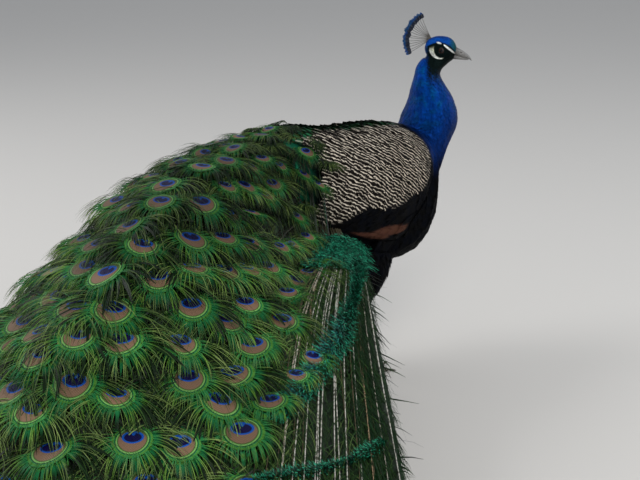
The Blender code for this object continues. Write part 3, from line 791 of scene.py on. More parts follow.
@dataclass(frozen=True)
class TrainPaint:
    """Colours of the train feathers, laid out from the middle of each eye in units of its half width."""

    pupil: Colour = (0.006, 0.004, 0.050)
    azure: Colour = (0.006, 0.080, 0.400)
    taupe: Colour = (0.205, 0.125, 0.076)
    olive: Colour = (0.060, 0.105, 0.024)
    lime_ring: Colour = (0.170, 0.400, 0.100)
    dark_ring: Colour = (0.004, 0.036, 0.014)
    emerald: Colour = (0.014, 0.205, 0.062)
    lime: Colour = (0.110, 0.270, 0.020)
    barb: Colour = (0.016, 0.060, 0.010)
    # Pale yellow-green barbs: partly their own colour and partly painted highlight on barbs in the light.
    barb_pale: Colour = (0.190, 0.270, 0.075)
    # Near-black green: painted shade for barbs in the gaps and in the layer under the fringes; it also
    # darkens the barb ends.
    barb_shade: Colour = (0.0025, 0.0075, 0.0025)
    barb_root: Colour = (0.005, 0.040, 0.014)
    quill: Colour = (0.540, 0.520, 0.465)
    quill_tan: Colour = (0.360, 0.250, 0.150)
    quill_dark: Colour = (0.050, 0.045, 0.028)

    def make(self, name: str) -> Material:
        """Build the material.

        Args:
            name: Its name.

        Returns:
            The material.
        """
        paint = Paint(name, IOR=1.45, Specular_IOR_Level=0.12)
        x, y, kind = paint.parts(paint.vector("vane"))
        t, own, feather = paint.parts(paint.vector("tint"))
        lines = ((y - abs(x) * 0.75) * 46.0).sine()
        outer = (x * x + (y / 1.06) ** 2.0) ** 0.5
        blue, pupil, notch = (((x / wide) ** 2.0 + ((y + down) / tall) ** 2.0) ** 0.5 for wide, down, tall in
                              ((0.72, 0.24, 0.56), (0.57, 0.22, 0.41), (0.13, 0.62, 0.24)))
        strand = paint.coats(
            self.barb,
            ((own * 0.75 + feather * 0.35).rise(0.30, 0.95), self.barb_pale),
            (own.rise(0.34, 0.0) * 0.85, self.barb_shade),
            (t.rise(0.42, 0.02) * 0.75, self.barb_root),
            (t.rise(0.72, 1.0) * 0.55, self.barb_shade))
        side = abs(x).rise(0.45, 1.10) * (abs(x) + abs(y - 0.35) * 0.4).rise(2.70, 1.45)
        shore = outer + lines * 0.03 + (feather - 0.5) * 0.10
        colour = paint.coats(
            strand,
            (side * 0.80 * own.rise(0.04, 0.25), self.lime),
            (shore.rise(2.10, 1.35) * 0.9, self.emerald),
            (shore.rise(1.42, 1.24) * 0.7, self.lime),
            (outer.rise(1.26, 1.15), self.emerald),
            (outer.rise(1.17, 1.12), self.dark_ring),
            (outer.rise(1.11, 1.06), self.lime_ring),
            (outer.rise(1.01, 0.97), self.olive),
            (outer.rise(0.95, 0.88), paint.mix(y.rise(-0.20, -0.75), self.taupe, self.olive)),
            (blue.rise(1.06, 0.96), self.azure),
            (pupil.rise(1.07, 0.96) * notch.rise(0.9, 1.1), self.pupil))
        spot = paint.node("ShaderNodeTexCoord").outputs["Object"]
        high = paint.parts(spot)[2]
        quill = paint.coats(
            self.quill,
            (own.rise(0.40, 0.60), self.quill_tan),
            (own.rise(0.68, 0.74) * 0.85, self.quill_dark),
            (paint.noise(spot, 160.0, 2.0).rise(0.52, 0.36) * 0.8, self.quill_dark),
            # Dark at the root, where the quill runs in under the rump fur (painted shade), and near the eye.
            (t.rise(0.72, 0.98).most(t.rise(0.19, 0.14)), self.quill_dark),
            (feather.rise(0.75, 0.25), self.quill_dark))
        colour = paint.coats(colour, (kind.rise(2.5, 2.6), strand), (kind.rise(0.4, 0.3), quill))
        bright = 0.84 + lines * 0.10 * kind.rise(0.5, 0.6) + (feather - 0.5) * 0.40
        # Painted shade: the train is darker where it stands high.
        bright = bright - high.rise(0.30, 0.50) * 0.34
        return paint.dress(paint.shade(colour, bright), 0.42 + (own - 0.5) * 0.12, lines, 0.25, 0.0005)


@dataclass(frozen=True)
class FurPaint:
    """Colours of loose dense barbs, from their roots to their tips."""

    # The near-black roots are painted shade deep in the fur; the bright tips are partly the barbs' own
    # emerald and partly painted highlight.
    root: Colour = (0.001, 0.005, 0.003)
    middle: Colour = (0.003, 0.062, 0.030)
    tip: Colour = (0.030, 0.470, 0.260)
    glint: Colour = (0.003, 0.110, 0.180)

    def make(self, name: str) -> Material:
        """Build the material.

        Args:
            name: Its name.

        Returns:
            The material.
        """
        paint = Paint(name, IOR=1.45, Specular_IOR_Level=0.3)
        t, own, zone = paint.parts(paint.vector("tint"))
        colour = paint.coats(
            self.root, (t.rise(0.0, 0.5), self.middle),
            (t.rise(0.4, 0.9) * own.rise(0.3, 0.9), self.tip),
            (zone.rise(0.35, 0.9) * own.rise(0.35, 0.65) * 0.8, self.glint),
            # Painted shade: some barbs go near-black all along.
            (own.rise(0.58, 0.10) * 0.9, self.root))
        return paint.dress(colour, 0.45 + (own - 0.5) * 0.1)


@dataclass(frozen=True)
class PlainPaint:
    """Two tones broken up by noise, for horn, quills and the like."""

    light: Colour
    dark: Colour
    scale: float = 200.0
    rough: float = 0.45
    bump: float = 0.2

    def make(self, name: str) -> Material:
        """Build the material.

        Args:
            name: Its name.

        Returns:
            The material.
        """
        paint = Paint(name, IOR=1.50)
        where = paint.node("ShaderNodeTexCoord").outputs["Object"]
        grain = paint.noise(where, self.scale, 3.0)
        colour = paint.mix(grain.rise(0.35, 0.68), self.dark, self.light)
        return paint.dress(colour, grain * 0.15 + (self.rough - 0.07), grain, self.bump, 0.0005)


@dataclass(frozen=True)
class EyePaint:
    """Dark eye with a brown iris round the pupil."""

    iris: Colour = (0.020, 0.007, 0.005)
    pupil: Colour = (0.003, 0.003, 0.004)
    pupil_size: float = 0.0034

    def make(self, name: str, centre: Array, gaze: Array) -> Material:
        """Build the material.

        Args:
            name: Its name.
            centre: Middle of the eyeball.
            gaze: Unit vector out of the head.

        Returns:
            The material.
        """
        paint = Paint(name, IOR=1.40, Specular_IOR_Level=0.3)
        where = paint.node("ShaderNodeTexCoord").outputs["Object"]
        arm = paint.node("ShaderNodeVectorMath", {"operation": "SUBTRACT"}, {0: where, 1: tuple(centre)})
        turned = paint.node("ShaderNodeVectorMath", {"operation": "CROSS_PRODUCT"},
                            {0: arm.outputs[0], 1: tuple(gaze)})
        off = paint.node("ShaderNodeVectorMath", {"operation": "LENGTH"}, {0: turned.outputs[0]})
        away = Field(paint, off.outputs["Value"])
        fleck = paint.noise(where, 1500.0)
        colour = paint.coats(
            self.iris, (fleck.rise(0.3, 0.7), paint.shade(self.iris, 1.8)),
            (away.rise(self.pupil_size + 0.0003, self.pupil_size - 0.0002), self.pupil),
            (away.rise(0.0050, 0.0060), self.pupil))
        return paint.dress(colour, fleck * 0.04 + 0.05)


# ---- skin and small feathers ------------------------------------------------------------------
FLESH = ("trunk", "mantle", "wing_left", "wing_right", "flight_feathers_left", "flight_feathers_right",
         "neck_lower", "neck_upper", "head", "thigh_left", "thigh_right", "shank_left", "shank_right",
         "foot_left", "foot_right")


def marks_of(points: Array) -> dict[str, Array]:
    """Named vectors that the body's paint reads: place, place about the head and pads."""
    return {"place": points, "headwise": HEAD.to_head(points), "pads": BODY.pads(points)}


def unwrap(points: Array) -> Array:
    """Place of body points on a flat unwrap of the body, the neck and the legs.

    Args:
        points: Points in the bird's frame.

    Returns:
        Two numbers to a point, from 0 to 1.
    """
    x, y, z = points.T
    body = columns(0.02 + 0.60 * (x + 0.29) / 0.50, 0.50 + 0.48 * np.arctan2(z - 0.385, y) / math.pi)
    row = HEAD.middle()
    neck = columns(0.81 + 0.17 * np.arctan2(y - row[1] * 0.5, x - row[0]) / math.pi,
                   0.40 + 0.58 * (z - 0.33) / 0.35)
    leg = columns(np.where(y > 0, 0.72, 0.90) + 0.08 * np.arctan2(np.abs(y) - 0.062, x + 0.07) / math.pi,
                  0.02 + 0.36 * z / 0.29)
    high = (z > 0.44) & (x > 0.13) | (z > 0.535)
    low = (z < 0.235)
    return np.clip(np.where(high[:, None], neck, np.where(low[:, None], leg, body)), 0.003, 0.997)


@dataclass
class Skin:
    """One skin over the flesh, without seams, let in by the depth of the coat."""

    swell: float = 0.0016
    voxel: float = 0.0030
    passes: int = 5
    body_depth: float = 0.0050
    neck_depth: float = 0.0030
    head_depth: float = 0.0014
    points: Array = field(default_factory=lambda: np.zeros((0, 3)))
    normals: Array = field(default_factory=lambda: np.zeros((0, 3)))
    faces: Array = field(default_factory=lambda: np.zeros((0, 4), int))

    def gather(self) -> Thing:
        """Join swollen copies of the flesh nodes.

        Returns:
            One object, in the model's frame.
        """
        points, faces, base = [], [], 0
        for name in FLESH:
            at, tris = read_node(name)
            at = at + self.vertex_normals(at, tris) * self.swell
            points.append(at)
            faces.append(tris + base)
            base += len(at)
        mesh = bpy.data.meshes.new("flesh")
        mesh.from_pydata(np.concatenate(points).tolist(), [], np.concatenate(faces).tolist())
        item = bpy.data.objects.new("flesh", mesh)
        bpy.context.scene.collection.objects.link(item)
        return item

    @staticmethod
    def vertex_normals(points: Array, faces: Array) -> Array:
        """Find area-weighted normals at the points of a mesh.

        Args:
            points: Its points.
            faces: Its faces.

        Returns:
            A unit vector to a point.
        """
        a, b, c = points[faces[:, 0]], points[faces[:, 1]], points[faces[:, 2]]
        normal = np.cross(b - a, c - a)
        if faces.shape[1] == 4:
            normal = np.cross(c - a, points[faces[:, 3]] - b)
        total = np.zeros_like(points)
        for k in range(faces.shape[1]):
            for axis in range(3):
                total[:, axis] += np.bincount(faces[:, k], normal[:, axis], len(points))
        return unit(total)

    def depth_at(self, points: Array) -> Array:
        """Find how deep the coat is.

        Args:
            points: Points in the bird's frame.

        Returns:
            Depth at each.
        """
        z = points[:, 2]
        high = ease(0.40, 0.46, z) * ease(0.10, 0.14, points[:, 0])
        depth = self.body_depth + (self.neck_depth - self.body_depth) * high
        depth = depth + (self.head_depth - depth) * ease(0.56, 0.60, z)
        return depth * ease(0.135, 0.165, z)

    def build(self) -> "Skin":
        """Make the skin piece and keep its surface for the coat.

        Returns:
            Itself.
        """
        item = self.gather()
        step = item.modifiers.new("wrap", "REMESH")
        step.mode = "VOXEL"
        step.voxel_size = self.voxel
        graph = bpy.context.evaluated_depsgraph_get()
        mesh = bpy.data.meshes.new_from_object(item.evaluated_get(graph))
        bpy.data.objects.remove(item, do_unlink=True)
        at = np.zeros(len(mesh.vertices) * 3)
        mesh.vertices.foreach_get("co", at)
        at = at.reshape(-1, 3) - ORIGIN
        corners = np.zeros(len(mesh.loops), int)
        mesh.loops.foreach_get("vertex_index", corners)
        faces = corners.reshape(-1, 4)
        bpy.data.meshes.remove(mesh)
        pairs = np.concatenate([faces[:, [k, (k + 1) % 4]] for k in range(4)])
        count = np.maximum(np.bincount(pairs[:, 0], minlength=len(at)), 1)[:, None]
        for _ in range(self.passes):
            mean = np.stack([np.bincount(pairs[:, 0], at[pairs[:, 1], k], len(at)) for k in range(3)], -1)
            at = at * 0.5 + mean / count * 0.5
        normals = self.vertex_normals(at, faces)
        at = at - normals * (self.swell + self.depth_at(at))[:, None]
        self.points, self.faces = at, faces
        self.normals = self.vertex_normals(at, faces)
        piece = Piece("skin")
        piece.add(at, faces, None, plume=np.full_like(at, 0.5), **marks_of(at))
        piece.make(BodyPaint().make("skin_marks", False), Slot.DARK, *FLESH)
        return self


@dataclass
class CoatZone:
    """One kind of small feather and how it is set.

    Its lie is the way of the tips along X and Z; turn is how much further they point down between two
    places along X.
    """

    name: str
    slot: Slot
    spacing: float
    length: float
    width: float
    stand: float
    rows: int = 5
    cols: int = 3
    roundness: float = 2.2
    scatter: float = 0.12
    lie: tuple[float, float] = (-1.0, -0.20)
    turn: tuple[float, float, float] = (0.0, 0.0, 1.0)


@dataclass
class Coat(Seeded):
    """Small feathers that lie over the skin."""

    seed: int = 5
    skin: Skin = field(default_factory=Skin)
    zones: tuple = (
        CoatZone("head_feathers", Slot.BLUE, 0.0022, 0.0062, 0.0036, 0.0009, 4, 3),
        CoatZone("neck_feathers", Slot.BLUE, 0.0042, 0.0130, 0.0075, 0.0014),
        CoatZone("body_feathers", Slot.DARK, 0.0075, 0.0260, 0.0150, 0.0018, turn=(0.9, 0.02, 0.16)),
        CoatZone("thigh_feathers", Slot.DARK, 0.0065, 0.0220, 0.0100, 0.0036, lie=(-0.35, -1.0)),
        CoatZone("barred_feathers", Slot.BARRED, 0.0095, 0.0340, 0.0210, 0.0050, 6, 5, 2.6, 0.07,
                 (-1.0, -0.10), (0.5, 0.06, 0.13)),
        CoatZone("scale_feathers", Slot.SCALES, 0.0090, 0.0250, 0.0190, 0.0048, 6, 5, 2.6, 0.05, (-1.0, 0.0)),
        CoatZone("flight_quills", Slot.CHESTNUT, 0.0110, 0.0700, 0.0200, 0.0030, 8, 5, 3.5, 0.02,
                 (-1.0, -0.10)))
    crowding: float = 7.0
    bare_below: float = 0.138
    eye_rim: float = 0.0012

    def which(self, points: Array) -> Array:
        """Sort points of the skin into zones.

        Args:
            points: Points in the bird's frame.

        Returns:
            Number of the zone of each, or -1 for bare skin.
        """
        x, z = points[:, 0], points[:, 2]
        pads = BODY.pads(points)
        local = HEAD.to_head(points)
        head = (z > 0.585) | ((local[:, 1] > -0.040) & (z > 0.57))
        neck = (z > 0.385) & (x > 0.115)
        zone = np.full(len(points), 2)
        zone[(z < 0.262) & (np.abs(points[:, 1]) > 0.006) & (x < 0.02) & (x > -0.13)] = 3
        zone[pads[:, 0] > 0.5] = 4
        zone[pads[:, 1] > 0.5] = 5
        zone[BODY.folded(points)] = 6
        zone[neck & (pads.max(1) < 0.5)] = 1
        zone[head] = 0
        zone[z < self.bare_below] = -1
        gap = np.abs(local) - np.array((0.0, 0.0, HEAD.eye_out))
        eye = np.linalg.norm(gap, axis=1) < HEAD.eye_radius + self.eye_rim
        zone[(eye & head) | (local[:, 0] > 0.0335) & head] = -1
        return zone

    def lie(self, points: Array, number: int) -> Array:
        """Find the way the feathers point.

        Args:
            points: Their roots.
            number: Number of their zone.

        Returns:
            A vector to a root.
        """
        x, z = points[:, 0], points[:, 2]
        if number == 0:
            local, (back, up, _) = HEAD.to_head(points), HEAD.axes()
            fall = ease(-0.005, -0.035, local[:, 1])
            way = -back[None] * (1.0 - fall * 0.55)[:, None] + np.array((0.0, 0.0, -0.9)) * fall[:, None]
            return way + up[None] * (local[:, 1] > 0)[:, None] * 0.2
        if number == 1:
            return columns(-0.15 - ease(0.46, 0.39, z) * 0.4, 0.0, -1.0)
        zone = self.zones[number]
        more, low, high = zone.turn
        down = zone.lie[1] - ease(low, high, x) * more
        return columns(zone.lie[0], 0.0, down)

    def sow(self) -> dict[int, tuple[Array, Array]]:
        """Choose roots, evenly spaced in each zone.

        Returns:
            Zone number to roots and normals.
        """
        at, faces = self.skin.points, self.skin.faces
        a, b, c = at[faces[:, 0]], at[faces[:, 1]], at[faces[:, 3]]
        area = np.linalg.norm(np.cross(b - a, c - a), axis=1)
        zones = self.which(at[faces].mean(1))
        chosen = {}
        for number, zone in enumerate(self.zones):
            mine = np.where(zones == number)[0]
            count = int(area[mine].sum() / zone.spacing**2 * self.crowding)
            pick = self.rng.choice(mine, count, p=area[mine] / area[mine].sum())
            s, t = self.rng.random(count)[:, None], self.rng.random(count)[:, None]
            spots = at[faces[pick, 0]] + (b - a)[pick] * s + (c - a)[pick] * t
            kept = self.thin(spots, zone.spacing)
            chosen[number] = (spots[kept], self.skin.normals[faces[pick[kept], 0]])
        return chosen

    @staticmethod
    def thin(spots: Array, spacing: float) -> list[int]:
        """Drop each spot that lies too near an earlier one.

        Args:
            spots: The spots.
            spacing: Least distance apart.

        Returns:
            Numbers of those kept.
        """
        cells: dict[tuple[int, ...], list[int]] = {}
        kept = []
        rows = spots.tolist()
        steps = list(itertools.product((-1, 0, 1), repeat=3))
        for k, (i, j, m) in enumerate(np.floor(spots / spacing).astype(int).tolist()):
            px, py, pz = rows[k]
            near = (rows[other] for a, b, c in steps for other in cells.get((i + a, j + b, m + c), ()))
            if all((px - qx) ** 2 + (py - qy) ** 2 + (pz - qz) ** 2 >= spacing**2 for qx, qy, qz in near):
                cells.setdefault((i, j, m), []).append(k)
                kept.append(k)
        return kept

    def build(self) -> None:
        """Make every zone's feathers."""
        tree = BVHTree.FromPolygons(self.skin.points.tolist(), self.skin.faces.tolist())
        paint = BodyPaint().make("coat_marks", True)
        for number, (roots, normals) in self.sow().items():
            piece = Piece(self.zones[number].name)
            self.set_feathers(piece, self.zones[number], roots, normals, self.lie(roots, number), tree)
            piece.make(paint, self.zones[number].slot)

    def set_feathers(self, piece: Piece, zone: CoatZone, roots: Array, normals: Array, ways: Array,
                     tree: BVHTree) -> None:
        """Lay one zone's feathers down on the skin.

        Args:
            piece: Piece to fill.
            zone: Kind of feather.
            roots: Where they grow.
            normals: Way out of the skin at the roots.
            ways: Way the tips point.
            tree: Search tree of the skin.
        """
        count, rng = len(roots), self.rng
        ways = ways + rng.normal(0.0, zone.scatter, (count, 3)) * np.linalg.norm(ways, axis=1)[:, None]
        ways = unit(ways - (ways * normals).sum(1)[:, None] * normals)
        sides = np.cross(ways, normals)
        v = np.linspace(0.0, 1.0, zone.rows) ** 0.85
        u = np.linspace(-1.0, 1.0, zone.cols)
        half = (1.0 - np.abs(v * 1.9 - 0.9).clip(0.0, 0.97) ** zone.roundness) ** 0.6
        half[0] = 0.35
        vv, uu = np.meshgrid(v, u, indexing="ij")
        tip = vv * (1.0 - 0.10 * uu**2 * vv)
        grow = rng.uniform(0.85, 1.15, count)[:, None]
        along = tip.reshape(-1)[None] * zone.length * grow
        across = (uu * half[:, None]).reshape(-1)[None] * zone.width * 0.5 * grow
        flat = roots[:, None] + ways[:, None] * along[..., None] + sides[:, None] * across[..., None]
        stand = (0.0003 + zone.stand * vv.reshape(-1) ** 1.3)[None] * rng.uniform(0.75, 1.25, count)[:, None]
        stand = stand - np.abs(uu).reshape(-1)[None] ** 2 * zone.stand * 0.25
        out = np.empty((count * vv.size, 3))
        lifts = stand.reshape(-1)
        for k, spot in enumerate(flat.reshape(-1, 3).tolist()):
            near, normal, _, _ = tree.find_nearest(spot)
            lift = lifts[k]
            out[k] = (near[0] + normal[0] * lift, near[1] + normal[1] * lift, near[2] + normal[2] * lift)
        own = rng.random(count)[:, None]
        plume = columns(vv.reshape(-1)[None], uu.reshape(-1)[None], own)
        patch = unwrap(roots)[:, None] + columns(uu, vv * 2.0 - 1.0).reshape(-1, 2)[None] * 0.0015
        faces = tile_faces(grid_quads(zone.rows, zone.cols), vv.size, count)
        marks = marks_of(out)
        if zone.slot in (Slot.BARRED, Slot.SCALES):
            marks["pads"] = np.repeat(BODY.pads(roots), vv.size, axis=0)
        piece.add(out, faces, patch, plume=plume, **marks)


# ---- train ------------------------------------------------------------------------------------
EYE_STATION = 34  # station of the eye along every stem


@dataclass
class Rows:
    """Arrays with one row to a feather."""

    def part(self, keep: Array) -> Self:
        """Some of the feathers."""
        return replace(self, **{name: rows[keep] for name, rows in vars(self).items()})


@dataclass
class Stems(Rows):
    """Paths of many train feathers over the draped surface, and the plane in which each eye lies."""

    points: Array
    sides: Array
    ups: Array
    length: Array
    eye_at: Array
    size: Array
    eye_point: Array
    eye_axes: Array

    def place(self, along: Array, across: Array, up: Array) -> Array:
        """Bend flat feather measures along the stems and into the planes of their eyes.

        Args:
            along: Distance from the root, one row to a feather.
            across: Distance to the feather's right.
            up: Distance above its plane.

        Returns:
            Points in the bird's frame.
        """
        count, stations = self.points.shape[:2]
        at, over = self.eye_at[:, None], (self.length - self.eye_at)[:, None]
        past = along - at
        after = EYE_STATION + past / over * (stations - 1 - EYE_STATION)
        spot = np.clip(np.where(past < 0.0, along / at * EYE_STATION, after), 0.0, stations - 1.0)
        low = np.minimum(spot.astype(int), stations - 2)
        share = (spot - low)[..., None]
        row = np.arange(count)[:, None]
        point, side, top = (rows[row, low] * (1.0 - share) + rows[row, low + 1] * share
                            for rows in (self.points, self.sides, self.ups))
        bent = point + side * across[..., None] + top * up[..., None]
        side, ahead, top = (self.eye_axes[:, k][:, None] for k in range(3))
        flat = self.eye_point[:, None] + ahead * past[..., None]
        flat = flat + side * across[..., None] + top * up[..., None]
        leave = ease(-4.2, -1.5, past / self.size[:, None])[..., None]
        return bent * (1.0 - leave) + flat * leave


@dataclass
class FeatherSet(Rows):
    """Where a set of train feathers ends, how large its eyes are and how it is built."""

    reach: Array
    degrees: Array
    size: Array
    plain: Array
    bare: Array
    proud: Array


@dataclass
class AtlasCell:
    """Square patches of the paint map, one to a feather."""

    corner: Array
    side: float

    @staticmethod
    def spread(count: int) -> "AtlasCell":
        """Divide the map.

        Args:
            count: Number of feathers.

        Returns:
            A patch for each.
        """
        across = max(int(math.ceil(math.sqrt(count))), 1)
        k = np.arange(count)
        return AtlasCell(columns(k % across, k // across) / across, 1.0 / across)

    def part(self, keep: Array) -> "AtlasCell":
        """Patches of some of the feathers."""
        return AtlasCell(self.corner[keep], self.side)

    def patches(self, x: Array, y: Array, root: Array) -> Array:
        """Map places of flat feather points.

        Args:
            x: Across, in eye units.
            y: Along from the eye, in eye units.
            root: Distance of the root from the eye, in eye units.

        Returns:
            Two numbers to a point.
        """
        stem = 0.02 + 0.08 * (y + root[:, None]) / (root[:, None] - 5.9)
        v = np.where(y > -6.0, 0.10 + 0.86 * (y + 6.0) / 10.4, stem)
        u = 0.5 + np.clip(x / 9.2, -0.47, 0.47)
        flat = columns(u, np.clip(v, 0.02, 0.98))
        return self.corner[:, None] + flat * self.side


@dataclass
class Batch:
    """Train feathers that go into one piece."""

    piece: Piece
    mine: FeatherSet
    stems: Stems
    cell: AtlasCell
    lowest: float = 0.0012
    rim_pull: float = 0.7
    arch: float = 0.16
    taper: tuple = ((0.0, 0.15, 0.7, 1.0), (0.55, 1.0, 0.85, 0.12))

    def part(self, keep: Array) -> "Batch":
        """Some of the feathers, for the same piece."""
        return Batch(self.piece, self.mine.part(keep), self.stems.part(keep), self.cell.part(keep))

    def add(self, flat: tuple, faces: Array, kind: Array, tint: Array, droop: Array | float = 0.0) -> None:
        """Bend one kind of part onto every stem.

        Args:
            flat: Across, along (from the eye) and up, in metres, one row to a feather.
            faces: Faces of one feather's part.
            kind: Kind of part at each point.
            tint: Three numbers at each point.
            droop: How far each point sags.
        """
        across, along, up = flat
        stems = self.stems
        points = stems.place(along + stems.eye_at[:, None], across, up)
        points[..., 2] = np.maximum(points[..., 2] - droop, self.lowest)
        reach, degrees = TRAIN.polar(points[..., :2])
        past = np.maximum(degrees - TRAIN.high, 0.0)
        points[..., :2] = TRAIN.plan(reach, degrees - past * self.rim_pull)
        x, y = across / stems.size[:, None], along / stems.size[:, None]
        vane = columns(x, y, kind)
        tiled = tile_faces(faces, across.shape[1], len(across))
        patches = self.cell.patches(x, y, stems.eye_at / stems.size)
        self.piece.add(points, tiled, patches, vane=vane, tint=tint)

    def sweep(self, start: tuple[Array, Array], heading: tuple[Array, Array], length: Array, width: Array,
              lift: Array, twist: Array, own: Array, joints: int, droop: float) -> None:
        """Add curved flat barbs that are swept in the plane of each feather, in eye units.

        Args:
            start: Across and along at the roots.
            heading: Angle from the tip's way at root and at end, radians.
            length: Length of each.
            width: Half width of each.
            lift: Height of each.
            twist: Roll of each about its own line.
            own: Chance number of each.
            joints: Points along each.
            droop: Sag of the ends.
        """
        t = np.linspace(0.0, 1.0, joints)
        angle = heading[0][..., None] + (heading[1] - heading[0])[..., None] * t
        step = length[..., None] / (joints - 1)
        half = (angle[..., 1:] + angle[..., :-1]) / 2.0
        runs = [np.cumsum(turned(half) * step, -1) for turned in (np.sin, np.cos)]
        x, y = (place[..., None] + np.concatenate((np.zeros_like(run[..., :1]), run), -1)
                for place, run in zip(start, runs))
        z = lift[..., None] + self.arch * np.sin(t * math.pi * 0.9)
        wide = width[..., None] * np.interp(t, *self.taper)
        level = wide * np.cos(twist)[..., None]
        offsets = (level * np.cos(angle), -level * np.sin(angle), wide * np.sin(twist)[..., None])
        scale, count = self.mine.size[:, None], len(own)
        flat = tuple(columns(line - off, line + off).reshape(count, -1) * scale
                     for line, off in zip((x, y, z), offsets))
        share = np.tile(np.repeat(t, 2), own.shape[1])[None]
        feather = own.mean(1, keepdims=True) * 40.0 % 1.0
        tint = columns(share, np.repeat(own, joints * 2, axis=1), feather)
        faces = tile_faces(grid_quads(joints, 2), joints * 2, own.shape[1])
        kind = np.where(self.mine.plain > 0.5, 3.0, 1.0)[:, None]
        self.add(flat, faces, kind, tint, share**2 * scale * droop)


@dataclass(frozen=True)
class Fringe:
    """One layer of loose barbs round the discs, in eye units; its tones are the darkest and their range."""

    count: int
    begin: float
    length: float
    half: float
    lift: float
    roll: float
    tones: tuple[float, float]
    joints: int


@dataclass(frozen=True)
class Barbs:
    """Loose barbs along a stem, in eye units and radians.

    Their heading is given at root and end, their bend as its scatter and its gain towards the end, and
    the rest as a least and a greatest value.
    """

    heading: tuple[float, float]
    bend: tuple[float, float]
    length: tuple[float, float]
    half: tuple[float, float]
    lift: tuple[float, float]
    joints: int
    droop: float


